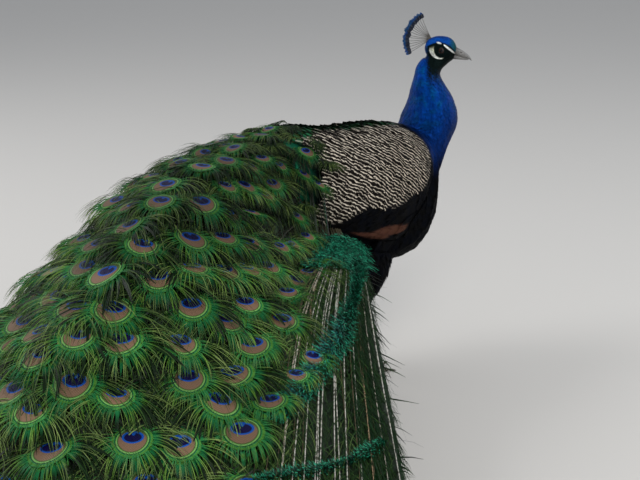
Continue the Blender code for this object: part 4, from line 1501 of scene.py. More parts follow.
@dataclass
class Train(Seeded):
    """Fan of long eyed feathers over a dark bed."""

    seed: int = 23
    ribbon_eyes: tuple = ((0.675, 35.3), (0.731, 33.8), (0.802, 31.8), (0.718, 28.4), (0.866, 30.0))
    root_box: tuple = ((-0.210, -0.060, 0.365), (-0.170, 0.060, 0.440))
    sector: tuple[float, float] = (-46.0, 45.0)
    near_side: tuple[float, float] = (30.0, 34.0)
    first_reach: float = 0.190
    last_reach: float = 1.35
    edge_in: float = 0.050
    edge_size: float = 0.021
    spacing: float = 0.0600
    eye_least: float = 0.0120
    eye_full: float = 0.0232
    tail_over: float = 3.3
    pull: float = 1.15
    stations: int = 44
    groups: int = 6
    # The second fringe layer is wide, set low and almost black: painted shade under the bright barbs.
    fringes: tuple = (Fringe(84, 1.0, 1.0, 0.022, 0.0, 0.6, (0.15, 0.85), 6),
                      Fringe(40, 0.6, 0.94, 0.105, -0.20, 0.25, (0.0, 0.02), 5))
    stem_barbs: int = 44
    stem_span: tuple[float, float] = (-6.2, -1.1)
    quill_half: tuple[float, float] = (0.0016, 0.0004)
    scattered: tuple = ((30.5, 130, (1.0, -1.0), 0.55, 1.0), (41.0, 380, (-1.0, -1.0), 0.14, 0.42))
    close: Barbs = Barbs((0.95, 0.50), (0.10, 2.0), (2.325, 3.41), (0.0238, 0.0544), (-0.22, -0.06), 5, 0.45)
    loose: Barbs = Barbs((0.62, 0.22), (0.16, 2.5), (1.5, 2.875), (0.0096, 0.024), (-0.20, 0.12), 6, 0.25)
    edge_feathers: int = 40
    bed_drop: float = 0.012
    bed_reach_in: float = 0.115
    far_drop: float = 0.016
    eye_sink: float = 0.0045
    level: float = 0.55
    fringe_droop: float = 0.85
    tries: int = 26000
    bed_grid: tuple[int, int] = (44, 72)

    def layout(self) -> FeatherSet:
        """Scatter the eyes evenly over the draped surface, with plain feathers round the edge.

        Returns:
            The feathers.
        """
        rng, tries = self.rng, self.tries
        degrees = rng.uniform(*self.sector, tries)
        reach = np.sqrt(rng.uniform(self.first_reach**2, self.last_reach**2, tries))
        keep = (degrees < 30.5 + 13.5 * ease(0.86, 1.0, reach)) & (reach < TRAIN.end(degrees) - 0.055)
        keep &= degrees > -34.0 - 10.0 * ease(0.55, 0.8, reach)
        reach, degrees = reach[keep], degrees[keep]
        given = np.array(self.ribbon_eyes)
        reach = np.concatenate((given[:, 0], reach))
        degrees = np.concatenate((given[:, 1], degrees))
        flat = TRAIN.plan(reach, degrees)
        spots = np.concatenate((flat, np.maximum(TRAIN.height(flat), BODY.top(flat))[:, None]), -1)
        gap = self.spacing * (0.58 + 0.42 * ease(0.24, 0.62, reach))
        chosen: list[int] = []
        for k in range(len(spots)):
            apart = np.linalg.norm(spots[chosen] - spots[k], axis=1) if chosen else np.ones(1)
            if k < len(given) or (apart > gap[k]).all():
                chosen.append(k)
        reach, degrees = reach[chosen], degrees[chosen]
        size = self.eye_least + (self.eye_full - self.eye_least) * ease(0.22, 0.74, reach)
        plain = (reach < self.first_reach + 0.045) | ((reach < 0.36) & (rng.random(len(reach)) < 0.45))
        bare = ease(*self.near_side, degrees)
        size = size * (1.0 - 0.28 * bare * ease(0.95, 0.85, reach)) * rng.uniform(0.90, 1.08, len(reach))
        edge = np.linspace(TRAIN.low + 1.2, TRAIN.high - 1.2, self.edge_feathers)
        count = len(edge)
        pairs = ((reach, TRAIN.end(edge) - self.edge_in), (degrees, edge),
                 (size, np.full(count, self.edge_size)), (plain * 1.0, np.ones(count)),
                 (bare, ease(*self.near_side, edge)),
                 (np.arange(len(reach)) < len(given), np.zeros(count)))
        return FeatherSet(*(np.concatenate(pair) for pair in pairs))

    def grow(self, feathers: FeatherSet) -> Stems:
        """Lay the stems from the rump so that each eye comes to its place.

        Args:
            feathers: The feathers.

        Returns:
            The stems.
        """
        rng = self.rng
        target = TRAIN.plan(feathers.reach, feathers.degrees)
        over = feathers.size * self.tail_over
        pull = self.pull * (1.0 - 0.75 * feathers.bare)
        length = np.maximum(feathers.reach - 0.17, 0.08)
        for _ in range(6):
            flat = self.trace(target, length, over, pull)
            reach, degrees = TRAIN.polar(flat[:, 0])
            length = np.clip(length + (reach - TRAIN.start(degrees) + 0.085) * 0.9, 0.07, 2.0)
        flat = self.trace(target, length, over, pull)
        reach, _ = TRAIN.polar(flat)
        share = np.arange(self.stations)[None] / EYE_STATION
        come_up = ease(0.74, 0.95, share)
        sink = (TRAIN.depth(reach) * 0.62 + self.bed_drop * ease(0.28, 0.42, reach)) * (1.0 - come_up)
        sink = sink * (1.0 - 0.85 * feathers.bare[:, None] * ease(0.22, 0.36, reach))
        sink = sink + self.eye_sink * come_up
        layer = rng.uniform(-0.0035, 0.0030, len(length)) + 0.008 * feathers.proud
        sink = sink + self.far_drop * ease(-16.0, -40.0, feathers.degrees)[:, None] * ease(0.45, 0.75, reach)
        climb = np.maximum(BODY.top(flat) + 0.003 - TRAIN.height(flat), 0.0)
        surface = TRAIN.height(flat) + climb * come_up * (1.0 - feathers.bare[:, None])
        rise = np.maximum(surface - sink + layer[:, None] * come_up, 0.0035)
        points = np.concatenate((flat, rise[..., None]), -1)
        into = ease(0.17, 0.0, share)[..., None]
        points = points + (np.clip(points, *self.root_box) - points) * into
        ahead = unit(np.gradient(points, axis=1))
        slope = TRAIN.slope(flat)
        out = unit(np.concatenate((-slope, np.ones_like(slope[..., :1])), -1))
        sides = unit(np.cross(ahead, out))
        ups = np.cross(sides, ahead)
        high = ease(0.02, 0.09, points[:, EYE_STATION, 2])[:, None]
        up = out[:, EYE_STATION] * (1.0 - self.level * high) + np.array((0.0, 0.0, 1.0)) * self.level * high
        up = unit(unit(up) + rng.normal(0.0, 0.10, up.shape) * (0.3 + 0.7 * high))
        side = unit(np.cross(ahead[:, EYE_STATION], up))
        axes = np.stack((side, np.cross(up, side), up), 1)
        return Stems(points, sides, ups, length + over, length, feathers.size, points[:, EYE_STATION], axes)

    def trace(self, eyes: Array, length: Array, over: Array, pull: Array) -> Array:
        """Walk on plan from each eye back to the rump, and on past the eye.

        Args:
            eyes: Places of the eyes.
            length: Length of each stem to its eye.
            over: Length beyond the eye.
            pull: How far each stem turns downhill.

        Returns:
            Stations of every stem from root to tip.
        """
        back = [eyes]
        for k in range(EYE_STATION):
            turn = pull * float(ease(0.25, 0.95, 1.0 - k / EYE_STATION))
            back.append(self.step(back[-1], -length / EYE_STATION, turn))
        fore = [eyes]
        count = self.stations - 1 - EYE_STATION
        for _ in range(count):
            fore.append(self.step(fore[-1], over / count, pull))
        return np.stack(back[::-1] + fore[1:], 1)

    @staticmethod
    def step(at: Array, far: Array, pull: Array) -> Array:
        """Move points one step along the lie of the train.

        Args:
            at: Points on plan.
            far: Length of the step.
            pull: How far each turns downhill.

        Returns:
            The points after the step.
        """
        slope = TRAIN.slope(at)
        radial = unit(at - np.array((TRAIN.centre, 0.0)))
        way = unit(radial - slope * pull[:, None])
        climb = (slope * way).sum(-1, keepdims=True)
        return at + way * far[:, None] / np.sqrt(1.0 + climb**2)

    def build(self) -> None:
        """Make the bed, the feathers and the loose barbs."""
        self.make_bed()
        feathers = self.layout()
        LOG.info("train: %d feathers", len(feathers.reach))
        paint = TrainPaint().make("train_vanes")
        order = np.arange(len(feathers.reach))
        for group in range(self.groups):
            mine = feathers.part(order % self.groups == group)
            piece = Piece("train_feathers_%d" % (group + 1))
            batch = Batch(piece, mine, self.grow(mine), AtlasCell.spread(len(mine.reach)))
            self.add_quills(batch)
            self.add_discs(batch)
            for fringe in self.fringes:
                self.add_fringe(batch, fringe)
            root = np.linspace(*self.stem_span, self.stem_barbs)
            root = root + self.rng.normal(0.0, 0.05, (len(mine.reach), self.stem_barbs))
            self.add_barbs(batch, self.close, root, (1.0, -1.0), 0.8, 1.0)
            piece.make(paint, Slot.TRAIN)
        piece = Piece("train_loose_barbs")
        for least, *form in self.scattered:
            mine = feathers.part((feathers.degrees > least) & (feathers.reach > 0.9))
            self.scatter_barbs(piece, mine, *form)
        piece.make(paint, Slot.TRAIN)

    def make_bed(self) -> None:
        """Dark closed sheet under the feathers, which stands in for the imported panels."""
        rows, cols = self.bed_grid
        degrees = np.linspace(TRAIN.low + 2.2, TRAIN.high - 0.5, cols)[None]
        share = np.linspace(0.0, 1.0, rows)[:, None]
        start = TRAIN.start(degrees)
        inner = start - 0.004 - self.bed_reach_in * ease(20.0, 32.0, np.abs(degrees))
        reach = inner + (start + (TRAIN.end(degrees) - start) * 0.945 - inner) * share
        flat = TRAIN.plan(reach, np.broadcast_to(degrees, reach.shape))
        sink = TRAIN.depth(reach) * 0.80 + self.bed_drop * ease(0.28, 0.42, reach)
        top = np.maximum(TRAIN.height(flat) - sink, 0.0028)
        low = np.maximum(top - 0.004, 0.0004)
        sheets = [np.concatenate((flat, side[..., None]), -1).reshape(-1, 3) for side in (top, low)]
        quads, base = grid_quads(rows, cols), rows * cols
        number = np.arange(base).reshape(rows, cols)
        ring = np.concatenate((number[0], number[1:, -1], number[-1, -2::-1], number[-2:0:-1, 0]))
        after = np.roll(ring, -1)
        rim = columns(after, ring, ring + base, after + base)
        piece = Piece("train_bed")
        piece.add(np.concatenate(sheets), np.concatenate((quads, quads[:, ::-1] + base, rim)))
        names = ["train_%s_%d" % (tier, k) for tier in ("upper", "middle", "lower") for k in range(1, 8)]
        # Near-black green: painted shade under and between the feathers.
        paint = PlainPaint((0.010, 0.026, 0.010), (0.003, 0.007, 0.003), 160.0, 0.75, 0.4).make("train_bed")
        piece.make(paint, Slot.TRAIN, *names)

    def add_quills(self, batch: Batch) -> None:
        """Add three-sided quills that taper to the eyes.

        Args:
            batch: Feathers to add to.
        """
        mine, stations = batch.mine, 16
        share = np.linspace(0.0, 1.0, stations)
        own = self.rng.random(len(mine.reach))[:, None, None]
        along = -batch.stems.eye_at[:, None] * (1.0 - share) + mine.size[:, None] * 0.9 * share
        root, tip = self.quill_half
        thick = (root - (root - tip) * share**1.5) * (1.0 + 0.25 * mine.bare[:, None])
        turn = np.radians((90.0, 210.0, 330.0))
        across, up = (thick[..., None] * side for side in (np.cos(turn), np.sin(turn)))
        spots = np.broadcast_arrays(across, along[..., None], up, share[:, None], own,
                                    mine.bare[:, None, None])
        across, along, up, *tint = (rows.reshape(len(own), -1) for rows in spots)
        batch.add((across, along, up), grid_quads(stations, 3, True), np.zeros(1), np.stack(tint, -1))

    def add_discs(self, batch: Batch) -> None:
        """Add closely barbed discs that carry the eyes.

        Args:
            batch: Feathers to add to.
        """
        batch = batch.part(batch.mine.plain < 0.5)
        rings, around, count = 7, 32, len(batch.mine.size)
        out = np.linspace(0.04, 1.36, rings)[None, :, None]
        turn = circle(around)[None, None]
        ragged = 1.0 + self.rng.uniform(-0.05, 0.05, (count, 1, around)) * (out > 1.2)
        x = out * ragged * np.sin(turn)
        y = out * ragged * np.cos(turn) * (1.0 + 0.05 * (np.cos(turn) > 0))
        up = 0.10 * (1.0 - out**2 * 0.55) + 0.04 * np.abs(x) - 0.05 * np.maximum(y, 0.0) ** 2
        flat = tuple(rows.reshape(count, -1) * batch.mine.size[:, None] for rows in (x, y, up))
        own = np.broadcast_to(self.rng.random(count)[:, None], flat[0].shape)
        tint = columns(0.5, own, own)
        batch.add(flat, grid_quads(rings, around, True), np.ones(1), tint)

    def add_fringe(self, batch: Batch, kind: Fringe) -> None:
        """Add loose barbs that stand out round the discs.

        Args:
            batch: Feathers to add to.
            kind: Their layer.
        """
        mine, rng, shape = batch.mine, self.rng, (len(batch.mine.reach), kind.count)
        turn = np.radians(np.linspace(-152.0, 152.0, kind.count))[None] + rng.normal(0.0, 0.06, shape)
        size = np.abs(turn)
        begin = np.where(mine.plain > 0.5, 0.10, 1.0)[:, None] * rng.uniform(1.05, 1.25, shape) * kind.begin
        bend = rng.normal(0.0, 0.10, shape)
        heading = (turn * 0.88 + bend, turn * (0.56 - 0.12 * size / 2.6) + bend * 2.6)
        length = (1.75 + 1.85 * ease(0.25, 1.7, size)) * rng.uniform(0.70, 1.12, shape) * kind.length
        length = length * (1.0 - 0.45 * mine.proud)[:, None]
        width = kind.half * rng.uniform(0.7, 1.5, shape)
        lift = rng.uniform(-0.05, 0.10, shape) + kind.lift
        twist = rng.normal(0.0, kind.roll, shape)
        own = kind.tones[0] + rng.random(shape) * kind.tones[1]
        batch.sweep((begin * np.sin(turn), begin * np.cos(turn)), heading, length, width, lift, twist, own,
                    kind.joints, self.fringe_droop)

    def add_barbs(self, batch: Batch, kind: Barbs, root: Array, sides: tuple[float, float], tone: float,
                  spread: float) -> None:
        """Add barbs along stems.

        Args:
            batch: Feathers to add to.
            kind: Their form.
            root: Where each grows, along from the eye.
            sides: Side of even and odd barbs.
            tone: Palest tone, 0 for black and 1 for pale green.
            spread: How far the barbs stand out, 1 for loose ones.
        """
        rng, shape = self.rng, root.shape
        side = np.where(np.arange(shape[1]) % 2 == 0, *sides)[None]
        bend = rng.normal(0.0, kind.bend[0], shape)
        heading = (side * (kind.heading[0] + bend) * spread,
                   side * (kind.heading[1] + bend * kind.bend[1]) * spread)
        length, width, lift = (rng.uniform(*ends, shape) for ends in (kind.length, kind.half, kind.lift))
        twist = rng.normal(0.0, 0.6, shape)
        own = rng.random(shape) * tone
        batch.sweep((np.zeros(shape), root), heading, length, width, lift, twist, own, kind.joints,
                    kind.droop)

    def scatter_barbs(self, piece: Piece, mine: FeatherSet, count: int, sides: tuple[float, float],
                      tone: float, spread: float) -> None:
        """Add long barbs all down some stems.

        Args:
            piece: Piece to fill.
            mine: The feathers.
            count: Barbs to a stem.
            sides: Side of even and odd barbs.
            tone: Palest tone, 0 for black and 1 for pale green.
            spread: How far the barbs stand out, 1 for loose ones.
        """
        stems, feathers = self.grow(mine), len(mine.reach)
        share = np.linspace(0.12, 1.0, count)[None] + self.rng.normal(0.0, 0.004, (feathers, count))
        root = -(stems.eye_at / mine.size)[:, None] * (1.0 - share) - 5.5 * share
        batch = Batch(piece, replace(mine, plain=np.ones(feathers)), stems, AtlasCell.spread(feathers))
        self.add_barbs(batch, self.loose, root, sides, tone, spread)


@dataclass
class FurRibbon:
    """Band of dense short barbs along a line of the train."""

    name: str
    line: tuple
    widths: tuple
    count: int
    glint: float
    proud: float

    def plan(self, share: Array) -> Array:
        """Points on plan at shares of the line."""
        row = read_rows(self.line, np.asarray(share))
        return TRAIN.plan(row[..., 0], row[..., 1])


RIBBONS = (
    FurRibbon("side_ribbon", (
        (0.00, 0.300, 43.1), (0.20, 0.409, 41.6), (0.38, 0.505, 40.1), (0.52, 0.588, 38.8),
        (0.66, 0.659, 37.2), (0.80, 0.739, 35.2), (0.90, 0.785, 33.9), (1.00, 0.822, 32.6)),
        ((0.0, 0.012), (0.3, 0.007), (0.5, 0.0130), (0.75, 0.013), (1.0, 0.011)), 5600, 0.8, 0.006),
    FurRibbon("lower_ribbon", (
        (0.00, 0.790, 43.9), (0.25, 0.822, 42.0), (0.50, 0.856, 39.3), (0.75, 0.888, 36.0),
        (1.00, 0.925, 32.0)),
        ((0.0, 0.004), (0.2, 0.009), (0.45, 0.005), (0.7, 0.008), (1.0, 0.004)), 1500, 0.5, 0.001),
)


@dataclass
class Fur(Seeded):
    """Furry emerald barbs on the rump and along the ribbons."""

    seed: int = 31
    rump: tuple = ((7600, 29.0, 46.5, -0.20), (8200, -47.0, -25.0, -0.60))
    barb_half: float = 0.0007
    under_count: int = 13000
    back_degrees: float = 27.0
    eye_clear: float = 0.0170

    def barbs(self, piece: Piece, flat: Array, way: Array, length: Array, width: float, lift: Array,
              glint: Array, sink: float = 0.0) -> None:
        """Lay short barbs over the train's surface.

        Args:
            piece: Piece to fill.
            flat: Roots on plan.
            way: Unit direction on plan.
            length: Length of each.
            width: Half width.
            lift: Height of each above the surface at its end.
            glint: Share of blue glints.
            sink: Depth of the roots under the surface.
        """
        joints, count, rng = 4, len(flat), self.rng
        t = np.linspace(0.0, 1.0, joints)[None]
        side = columns(-way[:, 1], way[:, 0])
        curl = rng.normal(0.0, 0.22, count)[:, None] * t**2
        bent = way[:, None] * t[..., None] + side[:, None] * curl[..., None]
        line = flat[:, None] + bent * length[:, None, None]
        wide = width * np.interp(t[0], (0.0, 0.3, 1.0), (0.6, 1.0, 0.15))
        roll = rng.uniform(-0.9, 0.9, count)[:, None]
        both = []
        for edge in (-1.0, 1.0):
            plan = line + side[:, None] * (edge * wide[None] * np.cos(roll))[..., None]
            draped = TRAIN.height(plan)
            over_back = np.abs(TRAIN.polar(plan)[1]) < self.back_degrees
            draped = draped + np.maximum(BODY.top(plan) - draped, 0.0) * over_back
            height = draped + 0.0005 - sink + lift[:, None] * np.sin(t * 2.4)
            height = height + edge * wide[None] * np.sin(roll) - 0.006 * (1.0 - t)
            both.append(np.concatenate((plan, np.maximum(height, 0.001)[..., None]), -1))
        points = np.stack(both, 2).reshape(count, -1, 3)
        share = np.repeat(t, 2, axis=1)
        own = rng.random(count)[:, None]
        tint = columns(share, own, glint[:, None])
        reach, degrees = TRAIN.polar(flat)
        root = columns((degrees + 50.0) / 100.0, reach / 1.4)
        spread = columns(np.tile((-1.0, 1.0), joints), share[0] * 2.0 - 1.0) * 0.0015
        patch = np.clip(root[:, None] + spread[None], 0.001, 0.999)
        piece.add(points, tile_faces(grid_quads(joints, 2), joints * 2, count), patch, tint=tint)

    def build(self) -> None:
        """Make the rump fur, the ribbons and the undercoat."""
        rng = self.rng
        paint = FurPaint().make("rump_fur")
        piece = Piece("rump_fur")
        for count, low, high, begin in self.rump:
            degrees = rng.uniform(low, high, count)
            start = TRAIN.start(degrees)
            reach = start + rng.uniform(begin, 1.0, count) * (0.155 - 0.003 * np.abs(np.abs(degrees) - 30.0))
            flat = TRAIN.plan(reach, degrees)
            turn = np.radians(degrees + rng.normal(0.0, 26.0, count))
            way = columns(-np.cos(turn), -np.sin(turn))
            length = rng.uniform(0.012, 0.028, count)
            glint = rng.uniform(0.0, 0.5, count)
            self.barbs(piece, flat, way, length, self.barb_half, rng.uniform(0.001, 0.006, count), glint)
        piece.make(paint, Slot.TRAIN)
        for ribbon in RIBBONS:
            self.build_ribbon(ribbon, paint)
        self.build_undercoat()

    def build_undercoat(self) -> None:
        """Make the dark barbs that fill the train between its feathers."""
        rng = self.rng
        degrees = rng.uniform(TRAIN.low + 1.0, TRAIN.high - 0.6, self.under_count)
        reach = np.sqrt(rng.uniform(0.20**2, 1.40**2, self.under_count))
        keep = reach < TRAIN.end(degrees) - 0.05
        flat = TRAIN.plan(reach[keep], degrees[keep])
        slope = TRAIN.slope(flat)
        way = unit(unit(flat - np.array((TRAIN.centre, 0.0))) - slope * 0.8)
        turn = rng.normal(0.0, 0.5, len(flat))
        side = columns(-way[:, 1], way[:, 0])
        way = way * np.cos(turn)[:, None] + side * np.sin(turn)[:, None]
        length = rng.uniform(0.030, 0.055, len(flat))
        piece = Piece("train_undercoat")
        lift = rng.uniform(0.001, 0.010, len(flat))
        self.barbs(piece, flat, way, length, 0.0013, lift, np.zeros(len(flat)), 0.012)
        # Near-black greens: painted shade between the train feathers.
        green = (0.006, 0.020, 0.004)
        paint = FurPaint((0.001, 0.003, 0.001), green, (0.022, 0.055, 0.012), green)
        piece.make(paint.make("train_undercoat"), Slot.TRAIN)

    def build_ribbon(self, ribbon: FurRibbon, paint: Material) -> None:
        """Make one furry ribbon.

        Args:
            ribbon: Which one.
            paint: Its material.
        """
        rng = self.rng
        share = rng.random(ribbon.count)
        middle = ribbon.plan(share)
        ahead = unit(ribbon.plan(share + 0.02) - ribbon.plan(share - 0.02))
        side = columns(-ahead[:, 1], ahead[:, 0])
        half = read_rows(ribbon.widths, share)[:, 0]
        off = rng.uniform(-1.0, 1.0, ribbon.count)
        flat = middle + side * (off * half * 0.8)[:, None]
        eyes = TRAIN.plan(*np.array(Train.ribbon_eyes).T)
        clear = (np.linalg.norm(flat[:, None] - eyes[None], axis=-1) > self.eye_clear).all(1)
        share, flat, off, half, ahead, side = (rows[clear] for rows in (share, flat, off, half, ahead, side))
        count = len(share)
        lean = off * 0.9 + rng.normal(0.0, 0.45, count)
        way = unit(ahead * np.cos(lean)[:, None] + side * np.sin(lean)[:, None])
        length = rng.uniform(0.6, 1.3, count) * half
        lift = 0.001 + half * 0.45 * (1.0 - np.abs(off)) * rng.uniform(0.4, 1.2, count)
        piece = Piece(ribbon.name)
        broad = ease(0.35, 0.55, share) * ease(1.0, 0.85, share)
        glint = broad * (0.9 - np.abs(off + 0.3)) + rng.normal(0.1, 0.25, count)
        glint = ribbon.glint * np.clip(glint, 0.0, 1.0)
        self.barbs(piece, flat, way, length, self.barb_half, lift, glint, -ribbon.proud)
        piece.make(paint, Slot.TRAIN)


# ---- crest, bill, eyes, claws and tail ----------------------------------------------------------
@dataclass
class Crest(Seeded):
    """Upright fan of bare shafts with spoon tips, in the head's middle plane."""

    seed: int = 7
    count: int = 15
    span: tuple[float, float] = (113.0, 214.0)
    lengths: tuple = ((0.0, 0.0603), (0.3, 0.0593), (0.6, 0.0598), (0.8, 0.0620), (1.0, 0.0648))
    root: tuple[float, float] = (-0.0197, 0.0236)
    shaft: float = 0.00052
    spoon_length: float = 0.0150
    spoon_half: float = 0.0066

    def place(self, out: Array, up: Array, off: Array) -> Array:
        """Find points in the bird's frame.

        Args:
            out: Run from the crest's root along the head.
            up: Rise above it.
            off: Distance to the left.

        Returns:
            The points.
        """
        along = np.array((math.cos(HEAD.heading), math.sin(HEAD.heading), 0.0))
        across = np.array((-along[1], along[0], 0.0))
        rise = np.array((0.0, 0.0, 1.0))
        start = HEAD.middle() + along * self.root[0] + rise * self.root[1]
        return start + out[..., None] * along + off[..., None] * across + up[..., None] * rise

    def build(self) -> None:
        """Make the shafts and the spoons."""
        rng = self.rng
        shafts, spoons = Piece("crest_shafts"), Piece("crest_spoons")
        for k in range(self.count):
            share = k / (self.count - 1)
            turn = math.radians(self.span[0] + (self.span[1] - self.span[0]) * share + rng.normal(0.0, 1.2))
            full = float(read_rows(self.lengths, np.array(share))[0]) * rng.uniform(0.955, 1.0)
            lean = rng.uniform(-0.0014, 0.0014)
            self.add_shaft(shafts, turn, full, lean)
            self.add_spoon(spoons, share, turn, full, lean)
        pale = PlainPaint((0.110, 0.100, 0.085), (0.045, 0.042, 0.038), 900.0, 0.55, 0.2)
        shafts.make(pale.make("crest_shafts"), Slot.BLUE, "crest")
        spoons.make(CrestPaint().make("crest_spoons"), Slot.BLUE)

    def add_shaft(self, piece: Piece, turn: float, full: float, lean: float) -> None:
        """Add one bare shaft.

        Args:
            piece: Piece to fill.
            turn: Its angle in the head's middle plane, radians.
            full: Its length with the spoon.
            lean: How far it stands to the left at the end.
        """
        share = np.linspace(0.0, 1.0, 12)[:, None]
        around = circle(6)[None]
        reach = 0.001 + (full - 0.006) * share
        radius = self.shaft * (1.15 - 0.45 * share)
        bow = 0.0016 * np.sin(share * math.pi)
        side = radius * np.cos(around) + bow
        out = reach * math.cos(turn) - side * math.sin(turn)
        up = reach * math.sin(turn) + side * math.cos(turn)
        off = radius * np.sin(around) + lean * share * 1.6
        piece.add(self.place(out, up, off), grid_quads(12, 6, True))

    def add_spoon(self, piece: Piece, share: float, turn: float, full: float, lean: float) -> None:
        """Add one spoon of close barbs round the end of a shaft.

        Args:
            piece: Piece to fill.
            share: Place in the fan, 0 in front and 1 at the back.
            turn: Angle of the shaft in the head's middle plane, radians.
            full: Length of shaft and spoon.
            lean: How far the shaft stands to the left.
        """
        rng = self.rng
        barbs, joints = 38, 5
        end = 1.0 - 0.34 * abs(2.0 * share - 1.0) ** 4
        own = float(rng.random())
        t = np.linspace(0.0, 1.0, joints)
        for k in range(barbs):
            side = 1.0 if k % 2 else -1.0
            at = (k // 2) / (barbs // 2 - 1)
            angle = side * math.radians(64.0 - 52.0 * at)
            wide = end * self.spoon_half * (0.55 + 1.0 * math.sin(min(at + 0.18, 1.0) * math.pi * 0.75))
            wide = wide * (1.0 - 0.25 * at) * rng.uniform(0.92, 1.08)
            along = full - self.spoon_length + self.spoon_length * 0.66 * at + wide * t * math.cos(angle)
            along = along - 0.0008 * t**2
            across = wide * t * math.sin(angle)
            width = 0.00052 * np.interp(t, (0.0, 0.5, 1.0), (0.7, 1.0, 0.35))
            pair = []
            for edge in (-1.0, 1.0):
                reach = along + edge * width * -math.sin(angle)
                off_line = across + edge * width * math.cos(angle)
                out = reach * math.cos(turn) - off_line * math.sin(turn)
                up = reach * math.sin(turn) + off_line * math.cos(turn)
                off = lean * 1.6 + 0.0010 * t**2 * (1.0 if k % 4 < 2 else -1.0)
                pair.append(self.place(out, up, off))
            points = np.stack(pair, 1)
            past = np.repeat((along - full) / self.spoon_length, 2)
            tint = columns(past, own, at)
            piece.add(points, grid_quads(joints, 2), None, tint=tint)


@dataclass(frozen=True)
class CrestPaint:
    """Blue spoon ends over blue-black roots."""

    blue: Colour = (0.003, 0.045, 0.215)
    teal: Colour = (0.003, 0.060, 0.150)
    dark: Colour = (0.004, 0.009, 0.024)

    def make(self, name: str) -> Material:
        """Build the material.

        Args:
            name: Its name.

        Returns:
            The material.
        """
        paint = Paint(name, Metallic=0.6)
        along, own, _ = paint.parts(paint.vector("tint"))
        colour = paint.coats(self.blue, (own, self.teal), (along.rise(-0.30, -0.60), self.dark))
        return paint.dress(colour, own * 0.1 + 0.42)


@dataclass
class Bill:
    """Curved upper and lower bill, with nostrils."""

    upper: tuple = (
        (0.0300, 0.0132, -0.0030, 0.0078), (0.0335, 0.0124, -0.0031, 0.0073),
        (0.0390, 0.0112, -0.0034, 0.0064), (0.0460, 0.0090, -0.0040, 0.0054),
        (0.0530, 0.0064, -0.0044, 0.0043), (0.0600, 0.0030, -0.0046, 0.0031),
        (0.0655, -0.0010, -0.0052, 0.0019), (0.0685, -0.0046, -0.0066, 0.0009))
    lower: tuple = (
        (0.0300, -0.0023, -0.0124, 0.0070), (0.0335, -0.0025, -0.0120, 0.0067),
        (0.0390, -0.0029, -0.0110, 0.0057), (0.0470, -0.0035, -0.0096, 0.0045),
        (0.0550, -0.0040, -0.0082, 0.0031), (0.0615, -0.0043, -0.0067, 0.0017))
    stations: int = 34
    around: int = 40
    nostril: tuple[float, float] = (0.0425, 0.0052)
    nostril_half: tuple[float, float] = (0.0036, 0.0013)
    dent: float = 0.0013

    def add_half(self, piece: Piece, table: tuple, ridge: float) -> None:
        """Loft one half of the bill, closed at both ends.

        Args:
            piece: Piece to fill.
            table: Rows of place along, top, bottom and half width.
            ridge: How sharply the upper side is ridged.
        """
        share = 1.0 - np.linspace(1.0, 0.0, self.stations) ** 1.3
        place = table[0][0] + (table[-1][0] - table[0][0]) * share
        rows = read_rows(table, place)
        turn = circle(self.around)
        c, s = np.cos(turn), np.sin(turn)
        w, v = (np.sign(side) * np.abs(side) ** 0.9 for side in (c, s))
        middle, half = (rows[:, :1] + rows[:, 1:2]) / 2.0, (rows[:, :1] - rows[:, 1:2]) / 2.0
        pinch = 1.0 - ridge * np.maximum(v[None], 0.0) ** 2
        up = middle + half * v[None]
        across = rows[:, 2:3] * w[None] * pinch
        along = np.broadcast_to(place[:, None], up.shape)
        if ridge > 0.2:
            off = [(at - hole) / wide for at, hole, wide in
                   zip((along, up), self.nostril, self.nostril_half)]
            dent = self.dent * (1.0 - ease(0.5, 1.2, np.hypot(*off)))
            across = across - np.sign(across) * np.minimum(dent, np.abs(across) * 0.8)
        ends = ((place[0], middle[0, 0], 0.0), (place[-1] + 0.0004, middle[-1, 0], 0.0))
        local = np.concatenate((columns(along, up, across).reshape(-1, 3), ends))
        count = self.stations * self.around
        ring = np.arange(self.around)
        after = (ring + 1) % self.around
        last = count - self.around
        caps = np.concatenate((columns(after, ring, count), columns(ring + last, after + last, count + 1)))
        base = piece.count
        piece.add(HEAD.to_bird(local), grid_quads(self.stations, self.around, True), None, headwise=local)
        piece.faces.append(caps + base)

    def build(self) -> None:
        """Make both halves."""
        paint = BillPaint(self.nostril).make("bill_horn")
        for name, table, ridge in (("upper", self.upper, 0.30), ("lower", self.lower, 0.0)):
            piece = Piece("bill_%s_shaped" % name)
            self.add_half(piece, table, ridge)
            piece.make(paint, Slot.BILL, "bill_" + name)


@dataclass(frozen=True)
class BillPaint:
    """Grey-brown horn, darker at the nostrils and the gape."""

    nostril: tuple[float, float]
    horn: Colour = (0.125, 0.124, 0.122)
    pale: Colour = (0.215, 0.210, 0.200)
    dark: Colour = (0.030, 0.026, 0.024)

    def make(self, name: str) -> Material:
        """Build the material.

        Args:
            name: Its name.

        Returns:
            The material.
        """
        paint = Paint(name, IOR=1.5)
        where = paint.vector("headwise")
        u, v, _ = paint.parts(where)
        grain = paint.noise(where, 420.0, 3.0)
        # The nostril is painted dark: painted shade in its opening.
        hole = ((u - self.nostril[0]) / 0.0026) ** 2.0 + ((v - self.nostril[1]) / 0.0009) ** 2.0
        colour = paint.coats(
            self.horn, (grain.rise(0.35, 0.7), self.pale), (u.rise(0.058, 0.067) * 0.5, self.pale),
            (hole.rise(1.5, 0.7) * 0.9, self.dark), (u.rise(0.040, 0.033) * 0.45, self.dark))
        return paint.dress(colour, grain * 0.15 + 0.30, grain, 0.25, 0.0004)


